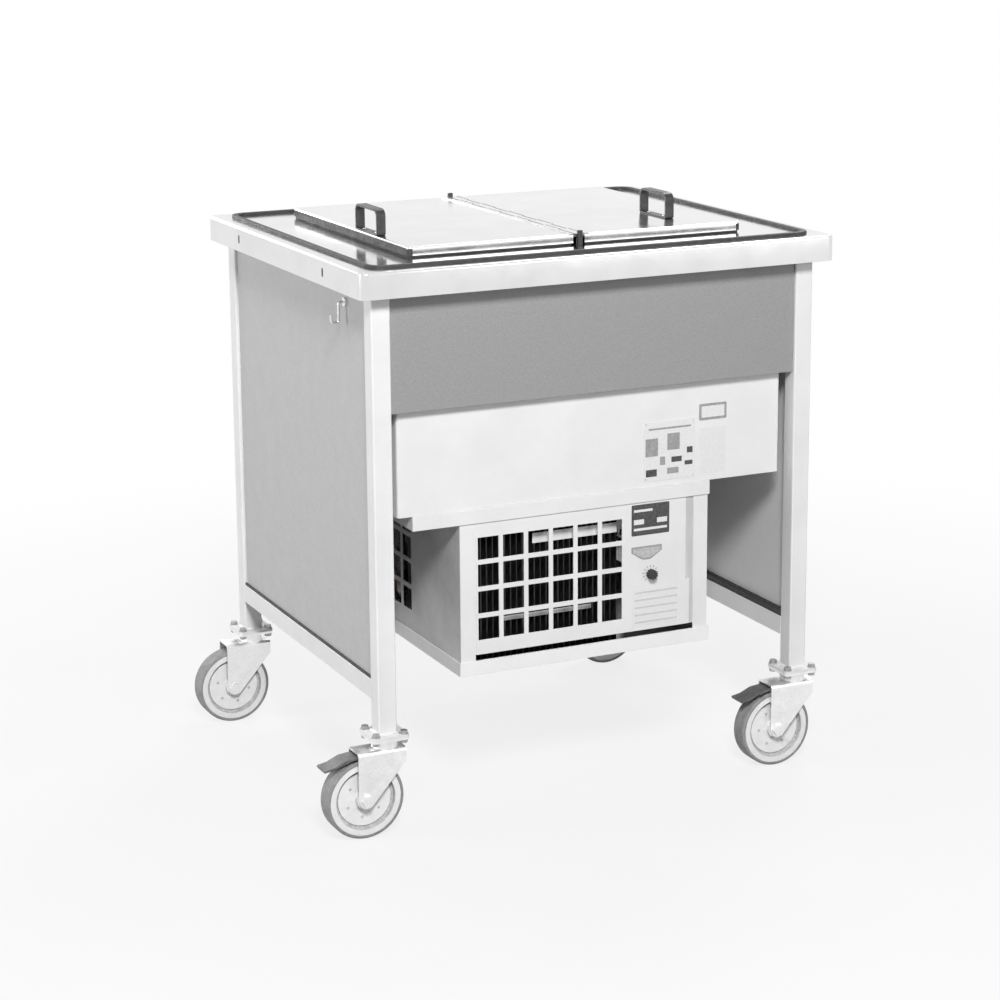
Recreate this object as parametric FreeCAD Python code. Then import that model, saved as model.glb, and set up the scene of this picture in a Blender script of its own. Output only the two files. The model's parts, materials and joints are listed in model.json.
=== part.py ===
import FreeCAD, Part
import math
import os

Vector = FreeCAD.Vector
X_AXIS = Vector(1, 0, 0)
Y_AXIS = Vector(0, 1, 0)
Z_AXIS = Vector(0, 0, 1)

# Ice cream serving counter on castors. Millimetres, +Z up, the operator stands at -Y.
# The origin is on the floor, under the middle of the worktop.

# Whole counter
counter_width = 800.0          # worktop, left to right
counter_depth = 675.0          # worktop, front to back
worktop_height = 870.0         # floor to worktop surface
overhang = 25.0                # worktop edge past the legs

# Clearances
moving_gap = 0.3               # flat faces of pieces that move past each other
seat_gap = 0.3                 # curved faces of pieces that sit in one another
running_clearance = 0.05       # radial, pins and axles
panel_gap = 0.5                # sheet and panel edges
cut_past = 1.0                 # how far a cutter runs past a face

# Worktop
worktop_edge = 40.0            # height of the folded edge
worktop_sheet = 1.5
worktop_corner = 13.0
worktop_rounding = 4.0
worktop_lip = 12.0             # return at the foot of the folded edge
slot_spacing = 370.0           # hanging slots in each end of the edge
slot_width = 6.0
slot_length = 14.0
slot_drop = 20.0               # worktop surface to slot centre

# Seal bead on the worktop
seal_inset = 25.0
seal_width = 10.0
seal_height = 4.5
seal_corner = 28.0
seal_rounding = 2.0

# Frame
leg_side = 30.0
leg_wall = 2.0
leg_corner = 2.5
foot_plate_side = 60.0
foot_plate_sheet = 4.0
foot_plate_corner = 6.0
rail_clear_height = 211.0      # floor to the underside of the lower rails
rail_height = 30.0
rail_wall = 2.0
top_rail_side = 25.0
strap_thickness = 3.0
strap_height = 40.0

# Panels
panel_thickness = 12.0
panel_recess = 5.0             # behind the outer faces of the legs
apron_drop = 178.0             # apron below the folded edge
hook_from_front = 111.0        # hook on the left panel, from the front of the legs
hook_drop = 64.0               # hook below the worktop surface
hook_base_radius = 7.0
hook_base_height = 4.0
hook_wire_radius = 2.0
hook_reach = 8.0
hook_length = 30.0
hook_tail = 12.0               # gap of the hook and height of its tail
hook_bend = 4.0

# Well, evaporator and tank
well_width = 540.0
well_length = 450.0
well_depth = 300.0
well_corner = 25.0
liner_sheet = 1.5
liner_flange = 15.0
evaporator_sheet = 3.0
evaporator_drop = 70.0         # worktop surface to the evaporator's upper edge
foam_gap = 0.3
tank_height = 380.5            # underside of the worktop sheet to the tank's underside
tank_sheet = 1.5
tank_side_gap = 3.0            # tank to the top rails
tank_corner = 3.0

# Lids and their hinges
lid_overlap = 15.0             # lid past the well, each way
lid_thickness = 13.5
lid_corner = 6.0
lid_rounding = 3.0
lid_sheet = 1.2
gasket_height = 3.5
gasket_width = 12.0
gasket_inset = 2.0
gasket_corner = 5.0
tray_skin = 4.0                # lid top to the inner face of the moulded tray
trim_width = 8.0               # black trim of the tray on the outer side of the lid
bar_width = 8.0                # bar between the two lids
bar_flange = 36.0              # bar foot past the bar, under the gaskets
bar_flange_thickness = 3.5
knuckle_radius = 2.6
knuckle_count = 9
knuckle_gap = 0.5
hinge_pin_radius = 1.5
leaf_width = 10.0              # hinge leaf on the lid, from the pin
leaf_thickness = 1.0
end_cap_depth = 5.0
end_cap_rise = 6.0             # end caps above the lids

# Lid handles
handle_length = 88.0
handle_height = 41.0
handle_width = 15.0
handle_strap = 4.0
handle_base = 2.5
handle_corner = 12.0
handle_foot_corner = 4.0
left_handle_inset = 1.0        # from the outer edge of the lid
left_handle_forward = 75.0     # handle middle in front of the lid middle
right_handle_inset = 77.5
right_handle_forward = 120.0

# Condensing unit casing
unit_width = 430.0
unit_offset = -14.0            # unit middle from the counter middle, along X
unit_depth = 420.0
unit_height = 262.0            # tank underside to tray underside
unit_sheet = 1.5
unit_flange = 12.0             # turned-in back edges of the side walls
unit_front_sheet = 2.0
stile_width = 25.0
front_slot_height = 9.0
front_groove_width = 2.0
front_groove_depth = 0.8
grip_width = 14.0              # upright recess at the right edge of the front panel
grip_foot_width = 7.0          # the same below the knob
grip_foot = 104.0              # tray underside to the change of width
grip_depth = 1.2
tray_sheet = 2.0
tray_lip = 22.0
hanger_sheet = 2.0
hanger_lip = 22.0
hanger_left_reach = 78.0       # hanger past the unit on the left
hanger_right_reach = 2.0

# Grilles of square openings
grille_opening = 35.0
grille_bar = 7.5
grille_rows = 4
front_grille_columns = 6
side_grille_columns = 5
front_grille_margin = 30.0     # unit edge to the first opening
side_grille_margin = 190.0     # unit front to the first side opening
grille_base = 54.0             # tray underside to the lowest openings

# Thermostat and knob
knob_from_right = 102.0        # unit right edge to knob axis
knob_above_tray = 122.0
knob_radius = 8.0
knob_length = 11.0
knob_flutes = 10
knob_flute_radius = 1.6
knob_shaft_radius = 3.0
knob_shaft_length = 20.0
thermostat_width = 44.0
thermostat_height = 36.0
thermostat_depth = 34.0

# Condenser and fan
condenser_margin = 32.0        # unit left edge to the condenser
condenser_gap = 28.0           # condenser to the thermostat
condenser_depth = 60.0
condenser_height = 222.0
condenser_core = 20.0
condenser_setback = 20.0       # behind the unit front
fin_count = 25
fin_thickness = 2.0
bend_rows = 3                  # return bends on each end
bend_radius = 10.0
bend_tube_radius = 4.0
shroud_sheet = 1.5
shroud_collar_depth = 25.0
shroud_opening_radius = 90.0
fan_radius = 84.0
fan_hub_radius = 16.0
fan_hub_length = 22.0
fan_blades = 5
fan_root_depth = 3.0           # blade roots inside the hub
fan_root_chord = 26.0
fan_tip_chord = 62.0
fan_blade_thickness = 2.0
fan_root_pitch = 38.0
fan_tip_pitch = 22.0
fan_shaft_radius = 4.0
fan_motor_gap = 6.0            # fan hub to motor
fan_motor_radius = 30.0
fan_motor_length = 60.0
fan_post_width = 30.0
fan_post_thickness = 4.0

# Compressor
compressor_from_right = 121.0  # unit right edge to compressor axis
compressor_from_back = 108.0   # unit back to compressor axis
compressor_radius = 75.0
compressor_height = 168.0
compressor_dome = 34.0
compressor_seam_width = 5.0
compressor_seam_height = 5.0
compressor_foot_width = 190.0
compressor_foot_depth = 120.0
compressor_foot_sheet = 4.0
rubber_foot_radius = 12.0
rubber_foot_height = 14.0
rubber_foot_inset = 15.0
stub_radius = 6.5
stub_offset = 30.0
stub_rise = 6.0                # pipe stubs above the dome

# Refrigerant pipes
pipe_radius = 5.0
pipe_bend = 12.0
pipe_hole_gap = 0.5
pipe_jog_rise = 22.0           # compressor stub to the level runs
suction_shift = 60.0           # suction pipe from its stub to its riser
liquid_run_height = 34.0       # tray underside to the liquid pipe
liquid_run_gap = 17.0          # condenser end to the liquid pipe
drier_radius = 9.0
drier_length = 92.0
drier_rise = 23.0              # liquid pipe to the drier
drier_from_front = 262.0

# Castors
wheel_diameter = 125.0
castor_height = 157.0          # floor to the castor plate's upper face
castor_trail = 38.0
tyre_width = 32.0
tyre_thickness = 5.0
tyre_shoulder = 4.0
rim_width = 30.0
rim_ring = 10.0
groove_ring = 4.0
groove_depth = 2.0
disc_width = 18.0
hub_boss_radius = 15.0
hub_width = 35.0
axle_radius = 6.0
axle_head_flats = 17.0
axle_head_height = 6.0
fork_side_gap = 0.5
fork_sheet = 3.0
fork_bend = 6.0
fork_boss_radius = 13.0
fork_front_reach = 27.0        # fork ahead of the swivel axis
fork_shoulder = 22.0           # straight front edge under the crown
castor_plate_sheet = 4.0
race_radius = 22.0
race_height = 7.0
fork_ring_radius = 20.0
fork_ring_height = 7.0
fork_ring_sink = 2.0           # ring into the rounded crown
king_pin_radius = 6.0
king_pin_head_radius = 10.0
king_pin_head_height = 5.0
plate_bolt_spacing = 45.0
plate_bolt_radius = 4.0
plate_hole_gap = 0.3

# Castor brakes
brake_pivot_back = 43.0        # swivel axis to brake pivot
brake_pivot_drop = 5.0         # crown underside to brake pivot
brake_pivot_radius = 2.5
brake_boss_radius = 4.5
brake_sheet = 3.5
brake_side_gap = 1.5
brake_bend_back = 27.0         # pivot to the first bend
brake_bend_drop = 3.0
brake_heel_back = 45.0         # pivot to the second bend
brake_heel_drop = 11.0
brake_tip_back = 61.0          # pivot to the tip of the pedal
brake_tip_drop = 14.0
brake_pad_gap = 5.5            # pad to tyre, brake off
brake_pad_start = 13.0         # pivot to the pad
brake_pad_length = 13.0

# Worked out from the sizes above
leg_x = counter_width / 2 - overhang
leg_y = counter_depth / 2 - overhang
leg_axis_x = leg_x - leg_side / 2
leg_axis_y = leg_y - leg_side / 2
bay_x = leg_x - leg_side
bay_y = leg_y - leg_side
sheet_under = worktop_height - worktop_sheet
edge_under = worktop_height - worktop_edge
leg_base = castor_height + foot_plate_sheet
rail_floor = rail_clear_height + rail_wall
panel_face_x = leg_x - panel_recess
panel_back_x = panel_face_x - panel_thickness
panel_face_y = leg_y - panel_recess
panel_back_y = panel_face_y - panel_thickness
tank_x = panel_back_x - top_rail_side - tank_side_gap
tank_y = panel_back_y - strap_thickness
tank_under = sheet_under - tank_height
well_x = well_width / 2
well_y = well_length / 2
well_floor = worktop_height - well_depth
liner_x = well_x + liner_sheet
liner_y = well_y + liner_sheet
liner_under = well_floor - liner_sheet
evaporator_x = liner_x + foam_gap + evaporator_sheet
evaporator_y = liner_y + foam_gap + evaporator_sheet
evaporator_under = liner_under - foam_gap - evaporator_sheet
lid_x = well_x + lid_overlap
lid_y = well_y + lid_overlap
lid_under = worktop_height + gasket_height
lid_top = lid_under + lid_thickness
bar_x = bar_width / 2
hinge_x = bar_x + moving_gap + knuckle_radius
hinge_top = lid_top + leaf_thickness
hinge_z = hinge_top - knuckle_radius
lid_inner_x = hinge_x + knuckle_radius + moving_gap
unit_left = unit_offset - unit_width / 2
unit_right = unit_offset + unit_width / 2
unit_front = -tank_y
unit_back = unit_front + unit_depth
unit_wall_y = (unit_front + unit_front_sheet, unit_back)
unit_top = tank_under - hanger_sheet
tray_under = tank_under - unit_height
tray_floor = tray_under + tray_sheet
grille_pitch = grille_opening + grille_bar
knob_x = unit_right - knob_from_right
knob_z = tray_under + knob_above_tray
condenser_left = unit_left + condenser_margin
condenser_right = knob_x - thermostat_width / 2 - condenser_gap
condenser_width = condenser_right - condenser_left
condenser_front = unit_front + condenser_setback
condenser_back = condenser_front + condenser_depth
condenser_mid_y = (condenser_front + condenser_back) / 2
condenser_top = tray_floor + condenser_height
fan_x = (condenser_left + condenser_right) / 2
fan_z = (tray_floor + condenser_top) / 2
fan_hub_front = condenser_back + shroud_sheet + moving_gap
fan_hub_back = fan_hub_front + fan_hub_length
motor_front = fan_hub_back + fan_motor_gap
compressor_x = unit_right - compressor_from_right
compressor_y = unit_back - compressor_from_back
compressor_base = tray_floor + rubber_foot_height + compressor_foot_sheet
compressor_top = compressor_base + compressor_height
stub_top = compressor_top + stub_rise
pipe_level = stub_top + pipe_jog_rise
suction_x = compressor_x - stub_offset - suction_shift
liquid_x = condenser_left - liquid_run_gap
liquid_y = unit_front + drier_from_front
liquid_z = tray_under + liquid_run_height
drier_base = liquid_z + drier_rise
wheel_radius = wheel_diameter / 2
rim_radius = wheel_radius - tyre_thickness
race_under = castor_height - castor_plate_sheet - race_height
crown_top = race_under - moving_gap - fork_ring_height
crown_under = crown_top - fork_sheet
fork_inner = hub_width / 2 + fork_side_gap
fork_outer = fork_inner + fork_sheet
brake_pivot_z = crown_under - brake_pivot_drop
corners = {"front_left": (-1, -1), "front_right": (1, -1), "back_left": (-1, 1), "back_right": (1, 1)}
braked = ("front_left", "front_right")


def box(x0, x1, y0, y1, z0, z1):
    return Part.makeBox(x1 - x0, y1 - y0, z1 - z0, Vector(x0, y0, z0))


def edges_along(shape, axis):
    """Straight edges of a shape that run along an axis."""
    straight = [edge for edge in shape.Edges if edge.Curve.TypeId == "Part::GeomLine"]
    return [edge for edge in straight if abs(edge.Curve.Direction.dot(axis)) > 0.999]


def edges_at(shape, height):
    """Edges of a shape that lie wholly in a level plane."""
    near = 0.001
    spans = [(edge, edge.BoundBox) for edge in shape.Edges]
    return [edge for edge, span in spans if max(abs(span.ZMin - height), abs(span.ZMax - height)) < near]


def edges_across(shape, height):
    """Edges along X that lie at one height."""
    near = 0.001
    return [edge for edge in edges_along(shape, X_AXIS) if abs(edge.CenterOfMass.z - height) < near]


def rounded_plate(x, y, z0, z1, corner):
    """Plate about the origin, half sizes x and y, with rounded upright corners."""
    plate = box(-x, x, -y, y, z0, z1)
    return plate.makeFillet(corner, edges_along(plate, Z_AXIS))


def extruded(points, direction):
    """Solid from a closed outline of straight lines, pushed along a vector."""
    return Part.Face(Part.makePolygon(points + [points[0]])).extrude(direction)


def hexagon(centre, flats, direction):
    """Hexagonal head about an upright or level axis, pushed along a vector."""
    radius = flats / math.sqrt(3)
    across = X_AXIS
    along = direction.cross(across).normalize()
    turns = [math.radians(60 * corner) for corner in range(6)]
    points = [centre + across * (radius * math.cos(a)) + along * (radius * math.sin(a)) for a in turns]
    return extruded(points, direction)


def bent_pipe(points, bend, radius):
    """Round bar along straight runs joined by tangent arcs of one bend radius."""
    edges = []
    start = points[0]
    for before, corner, after in zip(points, points[1:], points[2:]):
        back = (before - corner).normalize()
        ahead = (after - corner).normalize()
        half_turn = (math.pi - back.getAngle(ahead)) / 2
        reach = bend * math.tan(half_turn)
        first = corner + back * reach
        last = corner + ahead * reach
        middle = (back + ahead).normalize()
        crest = corner + middle * (bend / math.cos(half_turn) - bend)
        edges.append(Part.LineSegment(start, first).toShape())
        edges.append(Part.Arc(first, crest, last).toShape())
        start = last
    edges.append(Part.LineSegment(start, points[-1]).toShape())
    section = Part.Wire(Part.makeCircle(radius, points[0], points[1] - points[0]))
    return Part.Wire(edges).makePipeShell([section], True, False)


def save(name, *solids):
    shape = solids[0] if len(solids) == 1 else Part.makeCompound(solids)
    shape.exportStep(f"parts/{name}.step")


# Worktop and seal bead

def hanging_slot(side, y):
    """Upright slot through one end of the folded edge."""
    z = worktop_height - slot_drop
    half = (slot_length - slot_width) / 2
    radius = slot_width / 2
    start = side * counter_width / 2 - cut_past - worktop_sheet
    depth = 2 * (cut_past + worktop_sheet)
    middle = box(start, start + depth, y - radius, y + radius, z - half, z + half)
    ends = [Part.makeCylinder(radius, depth, Vector(start, y, z + end), X_AXIS) for end in (-half, half)]
    return middle.fuse(ends)


def make_worktop():
    """One pressing: top, folded edge with a return lip, and the well's cut-out."""
    x = counter_width / 2
    y = counter_depth / 2
    t = worktop_sheet
    skin = rounded_plate(x, y, edge_under, worktop_height, worktop_corner)
    skin = skin.makeFillet(worktop_rounding, edges_at(skin, worktop_height))
    hollow = rounded_plate(x - t, y - t, edge_under + t, sheet_under, worktop_corner - t)
    hollow = hollow.makeFillet(worktop_rounding - t, edges_at(hollow, sheet_under))
    lip_x = x - t - worktop_lip
    lip_y = y - t - worktop_lip
    mouth = rounded_plate(lip_x, lip_y, edge_under - cut_past, edge_under + t + cut_past, worktop_corner - t)
    well = rounded_plate(well_x, well_y, sheet_under - cut_past, worktop_height + cut_past, well_corner)
    slots = [hanging_slot(side, end * slot_spacing / 2) for side in (-1, 1) for end in (-1, 1)]
    return skin.cut([hollow, mouth, well] + slots)


def make_rim_seal():
    """Rubber bead round the worktop, rounded on top."""
    x = counter_width / 2 - seal_inset
    y = counter_depth / 2 - seal_inset
    top = worktop_height + seal_height
    outer = rounded_plate(x, y, worktop_height, top, seal_corner)
    inner = rounded_plate(
        x - seal_width, y - seal_width, worktop_height - cut_past, top + cut_past, seal_corner - seal_width
    )
    ring = outer.cut(inner)
    return ring.makeFillet(seal_rounding, edges_at(ring, top))


# Frame: legs, rails and panels

def plate_bolt_places(x, y):
    half = plate_bolt_spacing / 2
    return [(x + i * half, y + j * half) for i in (-1, 1) for j in (-1, 1)]


def square_plate(x, y, z0, z1):
    """Foot or castor plate with rounded corners and four bolt holes."""
    plate = rounded_plate(foot_plate_side / 2, foot_plate_side / 2, z0, z1, foot_plate_corner)
    plate.translate(Vector(x, y, 0))
    radius = plate_bolt_radius + plate_hole_gap
    depth = z1 - z0 + 2 * cut_past
    places = plate_bolt_places(x, y)
    return plate.cut([Part.makeCylinder(radius, depth, Vector(a, b, z0 - cut_past)) for a, b in places])


def make_leg(side_x, side_y):
    """Square tube from the worktop to a welded foot plate."""
    x = side_x * leg_axis_x
    y = side_y * leg_axis_y
    half = leg_side / 2
    tube = rounded_plate(half, half, leg_base, sheet_under, leg_corner)
    bore = box(-half + leg_wall, half - leg_wall, -half + leg_wall, half - leg_wall, leg_base, sheet_under)
    tube = tube.cut(bore)
    tube.translate(Vector(x, y, 0))
    return tube.fuse(square_plate(x, y, castor_height, leg_base)).removeSplitter()


def make_side_rail(side):
    """Lower end rail, an open-topped channel that the panel stands in."""
    top = rail_clear_height + rail_height
    outer_x = sorted((side * leg_x, side * bay_x))
    rail = box(*outer_x, -bay_y, bay_y, rail_clear_height, top)
    groove = box(outer_x[0] + rail_wall, outer_x[1] - rail_wall, -bay_y, bay_y, rail_floor, top + cut_past)
    return rail.cut(groove)


def make_back_rail():
    top = rail_clear_height + rail_height
    rail = box(-bay_x, bay_x, bay_y, leg_y, rail_clear_height, top)
    groove = box(-bay_x, bay_x, bay_y + rail_wall, leg_y - rail_wall, rail_floor, top + cut_past)
    return rail.cut(groove)


def make_top_frame():
    """End rails and cross straps that carry the worktop between the legs."""
    pieces = []
    low = sheet_under - top_rail_side
    for side in (-1, 1):
        outer = sorted((side * panel_back_x, side * (panel_back_x - top_rail_side)))
        rail = box(*outer, -bay_y, bay_y, low, sheet_under)
        t = leg_wall
        pieces.append(rail.cut(box(outer[0] + t, outer[1] - t, -bay_y, bay_y, low + t, sheet_under - t)))
    for side in (-1, 1):
        outer = sorted((side * panel_back_y, side * tank_y))
        pieces.append(box(-bay_x, bay_x, *outer, sheet_under - strap_height, sheet_under))
    return pieces


def make_side_panel(side):
    x = sorted((side * panel_face_x, side * panel_back_x))
    return box(*x, -bay_y + panel_gap, bay_y - panel_gap, rail_floor, sheet_under)


def make_front_apron():
    x = bay_x - panel_gap
    return box(-x, x, -panel_face_y, -panel_back_y, edge_under - apron_drop, sheet_under)


def make_back_panel():
    x = bay_x - panel_gap
    return box(-x, x, panel_back_y, panel_face_y, rail_floor, sheet_under)


def make_panel_hook():
    """Wire hook on a round base, for a scoop or a cloth."""
    y = -leg_y + hook_from_front
    z = worktop_height - hook_drop
    face = -panel_face_x
    out = face - hook_base_height
    base = Part.makeCylinder(hook_base_radius, hook_base_height, Vector(face, y, z), -X_AXIS)
    foot = z - hook_length
    wire = bent_pipe(
        [
            Vector(out, y, z),
            Vector(out - hook_reach, y, z),
            Vector(out - hook_reach, y, foot),
            Vector(out - hook_reach - hook_tail, y, foot),
            Vector(out - hook_reach - hook_tail, y, foot + hook_tail),
        ],
        hook_bend,
        hook_wire_radius,
    )
    return base.fuse(wire)


# Well, evaporator, insulation and tank casing

def pipe_holes(z0, z1):
    """Cutters where the two pipes rise from the unit into the tank."""
    radius = pipe_radius + pipe_hole_gap
    places = ((suction_x, compressor_y), (liquid_x, liquid_y))
    return [Part.makeCylinder(radius, z1 - z0, Vector(x, y, z0)) for x, y in places]


def tub(x, y, z0, z1, corner):
    """Tub outline with rounded upright corners and a rounded floor edge."""
    block = rounded_plate(x, y, z0, z1, corner)
    return block.makeFillet(corner / 2, edges_at(block, z0))


def make_well_liner():
    """Deep-drawn steel tub with a flange that hangs under the worktop."""
    outside = tub(liner_x, liner_y, liner_under, sheet_under, well_corner + liner_sheet)
    flange = rounded_plate(
        well_x + liner_flange, well_y + liner_flange, sheet_under - liner_sheet, sheet_under, well_corner
    )
    inside = tub(well_x, well_y, well_floor, worktop_height, well_corner)
    return outside.fuse(flange).cut(inside).removeSplitter()


def make_evaporator():
    """Cold jacket round the sides and floor of the liner."""
    top = worktop_height - evaporator_drop
    inner_corner = well_corner + liner_sheet + foam_gap
    outside = tub(evaporator_x, evaporator_y, evaporator_under, top, inner_corner + evaporator_sheet)
    gap = foam_gap
    inside = tub(liner_x + gap, liner_y + gap, liner_under - gap, top + inner_corner, inner_corner)
    return outside.cut(inside)


def make_insulation():
    """Foam between the tank casing and the cold jacket."""
    top = sheet_under - liner_sheet
    t = tank_sheet
    foam = rounded_plate(tank_x - t, tank_y - t, tank_under + t, top, tank_corner)
    corner = well_corner + liner_sheet + 2 * foam_gap + evaporator_sheet
    room = tub(
        evaporator_x + foam_gap, evaporator_y + foam_gap, evaporator_under - foam_gap, top + corner, corner
    )
    return foam.cut([room] + pipe_holes(tank_under, evaporator_under))


def make_tank_casing():
    """Folded sheet box, open at the top, closed by the worktop."""
    t = tank_sheet
    outside = rounded_plate(tank_x, tank_y, tank_under, sheet_under, tank_corner + t)
    inside = rounded_plate(tank_x - t, tank_y - t, tank_under + t, sheet_under + cut_past, tank_corner)
    holes = pipe_holes(tank_under - cut_past, tank_under + t + cut_past)
    return outside.cut([inside] + holes)


# Lids, hinges and handles

def knuckle_spans(first):
    """Front and back ends of every other knuckle along the hinge."""
    step = 2 * lid_y / knuckle_count
    starts = [-lid_y + step * place for place in range(first, knuckle_count, 2)]
    return [(start + knuckle_gap / 2, start + step - knuckle_gap / 2) for start in starts]


def knuckles(side, first, root_x):
    """Hinge knuckles, each with a web at its top to the piece that carries it."""
    axis_x = side * hinge_x
    web_x = sorted((axis_x, side * root_x))
    pieces = []
    for y0, y1 in knuckle_spans(first):
        barrel = Part.makeCylinder(knuckle_radius, y1 - y0, Vector(axis_x, y0, hinge_z), Y_AXIS)
        pieces.append(barrel.fuse(box(*web_x, y0, y1, lid_top, hinge_top)))
    return pieces


def hinge_bore(side):
    radius = hinge_pin_radius + running_clearance
    return Part.makeCylinder(radius, 2 * lid_y, Vector(side * hinge_x, -lid_y, hinge_z), Y_AXIS)


def make_centre_bar():
    """Upright bar across the well, with a foot for the gaskets and the fixed hinge knuckles."""
    bar = box(-bar_x, bar_x, -lid_y, lid_y, worktop_height, hinge_top)
    foot_x = bar_x + bar_flange
    foot_y = well_y - panel_gap
    foot = box(-foot_x, foot_x, -foot_y, foot_y, worktop_height - bar_flange_thickness, worktop_height)
    fixed = knuckles(-1, 0, 0) + knuckles(1, 0, 0)
    return bar.fuse([foot] + fixed).cut([hinge_bore(-1), hinge_bore(1)]).removeSplitter()


def make_end_caps():
    """Upright caps on both ends of the centre bar."""
    z = (worktop_height, lid_top + end_cap_rise)
    front = box(-bar_x, bar_x, -lid_y - end_cap_depth, -lid_y, *z)
    back = box(-bar_x, bar_x, lid_y, lid_y + end_cap_depth, *z)
    return front, back


def make_hinge_pins():
    return [
        Part.makeCylinder(hinge_pin_radius, 2 * lid_y, Vector(side * hinge_x, -lid_y, hinge_z), Y_AXIS)
        for side in (-1, 1)
    ]


def lid_block(side, inset, z0, z1, corner):
    """Block of one lid's outline, drawn in on all sides, with its two free corners rounded."""
    x = sorted((side * (lid_inner_x + inset), side * (lid_x - inset)))
    y = lid_y - inset
    block = box(*x, -y, y, z0, z1)
    return block.makeFillet(corner, free_edges(edges_along(block, Z_AXIS)))


def free_edges(edges):
    """Edges away from the hinge side of a lid."""
    return [edge for edge in edges if abs(edge.CenterOfMass.x) > lid_inner_x + lid_corner]


def make_lid(side):
    """Pressed steel pan, open below and on its outer side, with a hinge leaf on top."""
    skin = lid_block(side, 0, lid_under, lid_top, lid_corner)
    skin = skin.makeFillet(lid_rounding, free_edges(edges_at(skin, lid_top)))
    pan = skin.cut([lid_room(side, 0), lid_outer_side(side, 0)])
    leaf_end = hinge_x + leaf_width
    leaf = box(*sorted((side * lid_inner_x, side * leaf_end)), -lid_y, lid_y, lid_top, hinge_top)
    pan = pan.fuse([leaf] + knuckles(side, 1, leaf_end))
    return pan.cut(hinge_bore(side)).removeSplitter()


def lid_outer_side(side, gap):
    """Outer side of a lid below its rounded top edge, or the trim that fills it with a gap."""
    block = lid_block(side, 0, lid_under, lid_top - lid_rounding - gap, lid_corner)
    x = sorted((side * (lid_x - trim_width + gap), side * lid_x))
    return block.common(box(*x, -lid_y, lid_y, lid_under, lid_top))


def lid_room(side, gap):
    """Space inside the pan, or the piece that fills it with a gap."""
    inset = lid_sheet + gap
    top = lid_top - inset
    room = lid_block(side, inset, lid_under, top, lid_corner - lid_sheet)
    return room.makeFillet(lid_rounding - lid_sheet, free_edges(edges_at(room, top)))


def make_gasket(side):
    """Moulded inner tray of a lid, with a trim on its outer side and the sealing ring under its rim."""
    tray = lid_room(side, seat_gap).fuse(lid_outer_side(side, seat_gap))
    low = worktop_height + moving_gap
    ring = lid_block(side, gasket_inset, low, lid_under, gasket_corner)
    inset = gasket_inset + gasket_width
    mouth = lid_block(side, inset, low - cut_past, lid_under, gasket_corner)
    inner = lid_block(side, inset, lid_under, lid_top - tray_skin, gasket_corner)
    return tray.fuse(ring).cut([mouth, inner]).removeSplitter()


def make_handle(middle_x, middle_y):
    """Flat strap bent to a bow and closed by its base strip."""
    half = handle_length / 2
    x = (middle_x - handle_width / 2, middle_x + handle_width / 2)
    top = lid_top + handle_height
    bow = box(*x, middle_y - half, middle_y + half, lid_top, top)
    bow = bow.makeFillet(handle_corner, edges_across(bow, top))
    bow = bow.makeFillet(handle_foot_corner, edges_across(bow, lid_top))
    t = handle_strap
    inner_x = (x[0] - cut_past, x[1] + cut_past)
    inner_y = (middle_y - half + t, middle_y + half - t)
    grip = box(*inner_x, *inner_y, lid_top + handle_base, top - t)
    return bow.cut(grip.makeFillet(handle_corner - t, edges_across(grip, top - t)))


# Condensing unit casing

def square_openings(columns, place):
    """Grid of square openings; place gives one opening's cutter from its lower corner."""
    base = tray_under + grille_base
    cells = [(column, row) for column in range(columns) for row in range(grille_rows)]
    return [place(column * grille_pitch, base + row * grille_pitch) for column, row in cells]


def make_unit_hanger():
    """Plate with turned-down edges, screwed under the tank; the unit hangs on it."""
    x0 = unit_left - hanger_left_reach
    x1 = unit_right + hanger_right_reach
    y0 = unit_front - panel_gap - hanger_sheet
    y1 = unit_back
    t = hanger_sheet
    plate = box(x0, x1, y0, y1, tank_under - hanger_lip, tank_under)
    room = box(x0 + t, x1 - t, y0 + t, y1 + cut_past, tank_under - hanger_lip - cut_past, unit_top)
    return plate.cut([room] + pipe_holes(unit_top - cut_past, tank_under + cut_past))


def make_unit_side(edge_x, inward):
    """Side wall with a grille and a turned-in back edge."""
    t = unit_sheet
    wall = box(*sorted((edge_x, edge_x + inward * t)), *unit_wall_y, tray_floor, unit_top)
    flange_x = sorted((edge_x, edge_x + inward * unit_flange))
    flange = box(*flange_x, unit_back - t, unit_back, tray_floor, unit_top)
    start = unit_front + side_grille_margin
    past = cut_past + t

    def opening(along, z):
        y = start + along
        return box(edge_x - past, edge_x + past, y, y + grille_opening, z, z + grille_opening)

    return wall.fuse(flange).cut(square_openings(side_grille_columns, opening)).removeSplitter()


def make_unit_back():
    """Back wall, screwed inside the turned-in edges of the side walls."""
    inset = unit_sheet + panel_gap
    y1 = unit_back - unit_sheet
    return box(unit_left + inset, unit_right - inset, y1 - unit_sheet, y1, tray_floor, unit_top)


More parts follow.
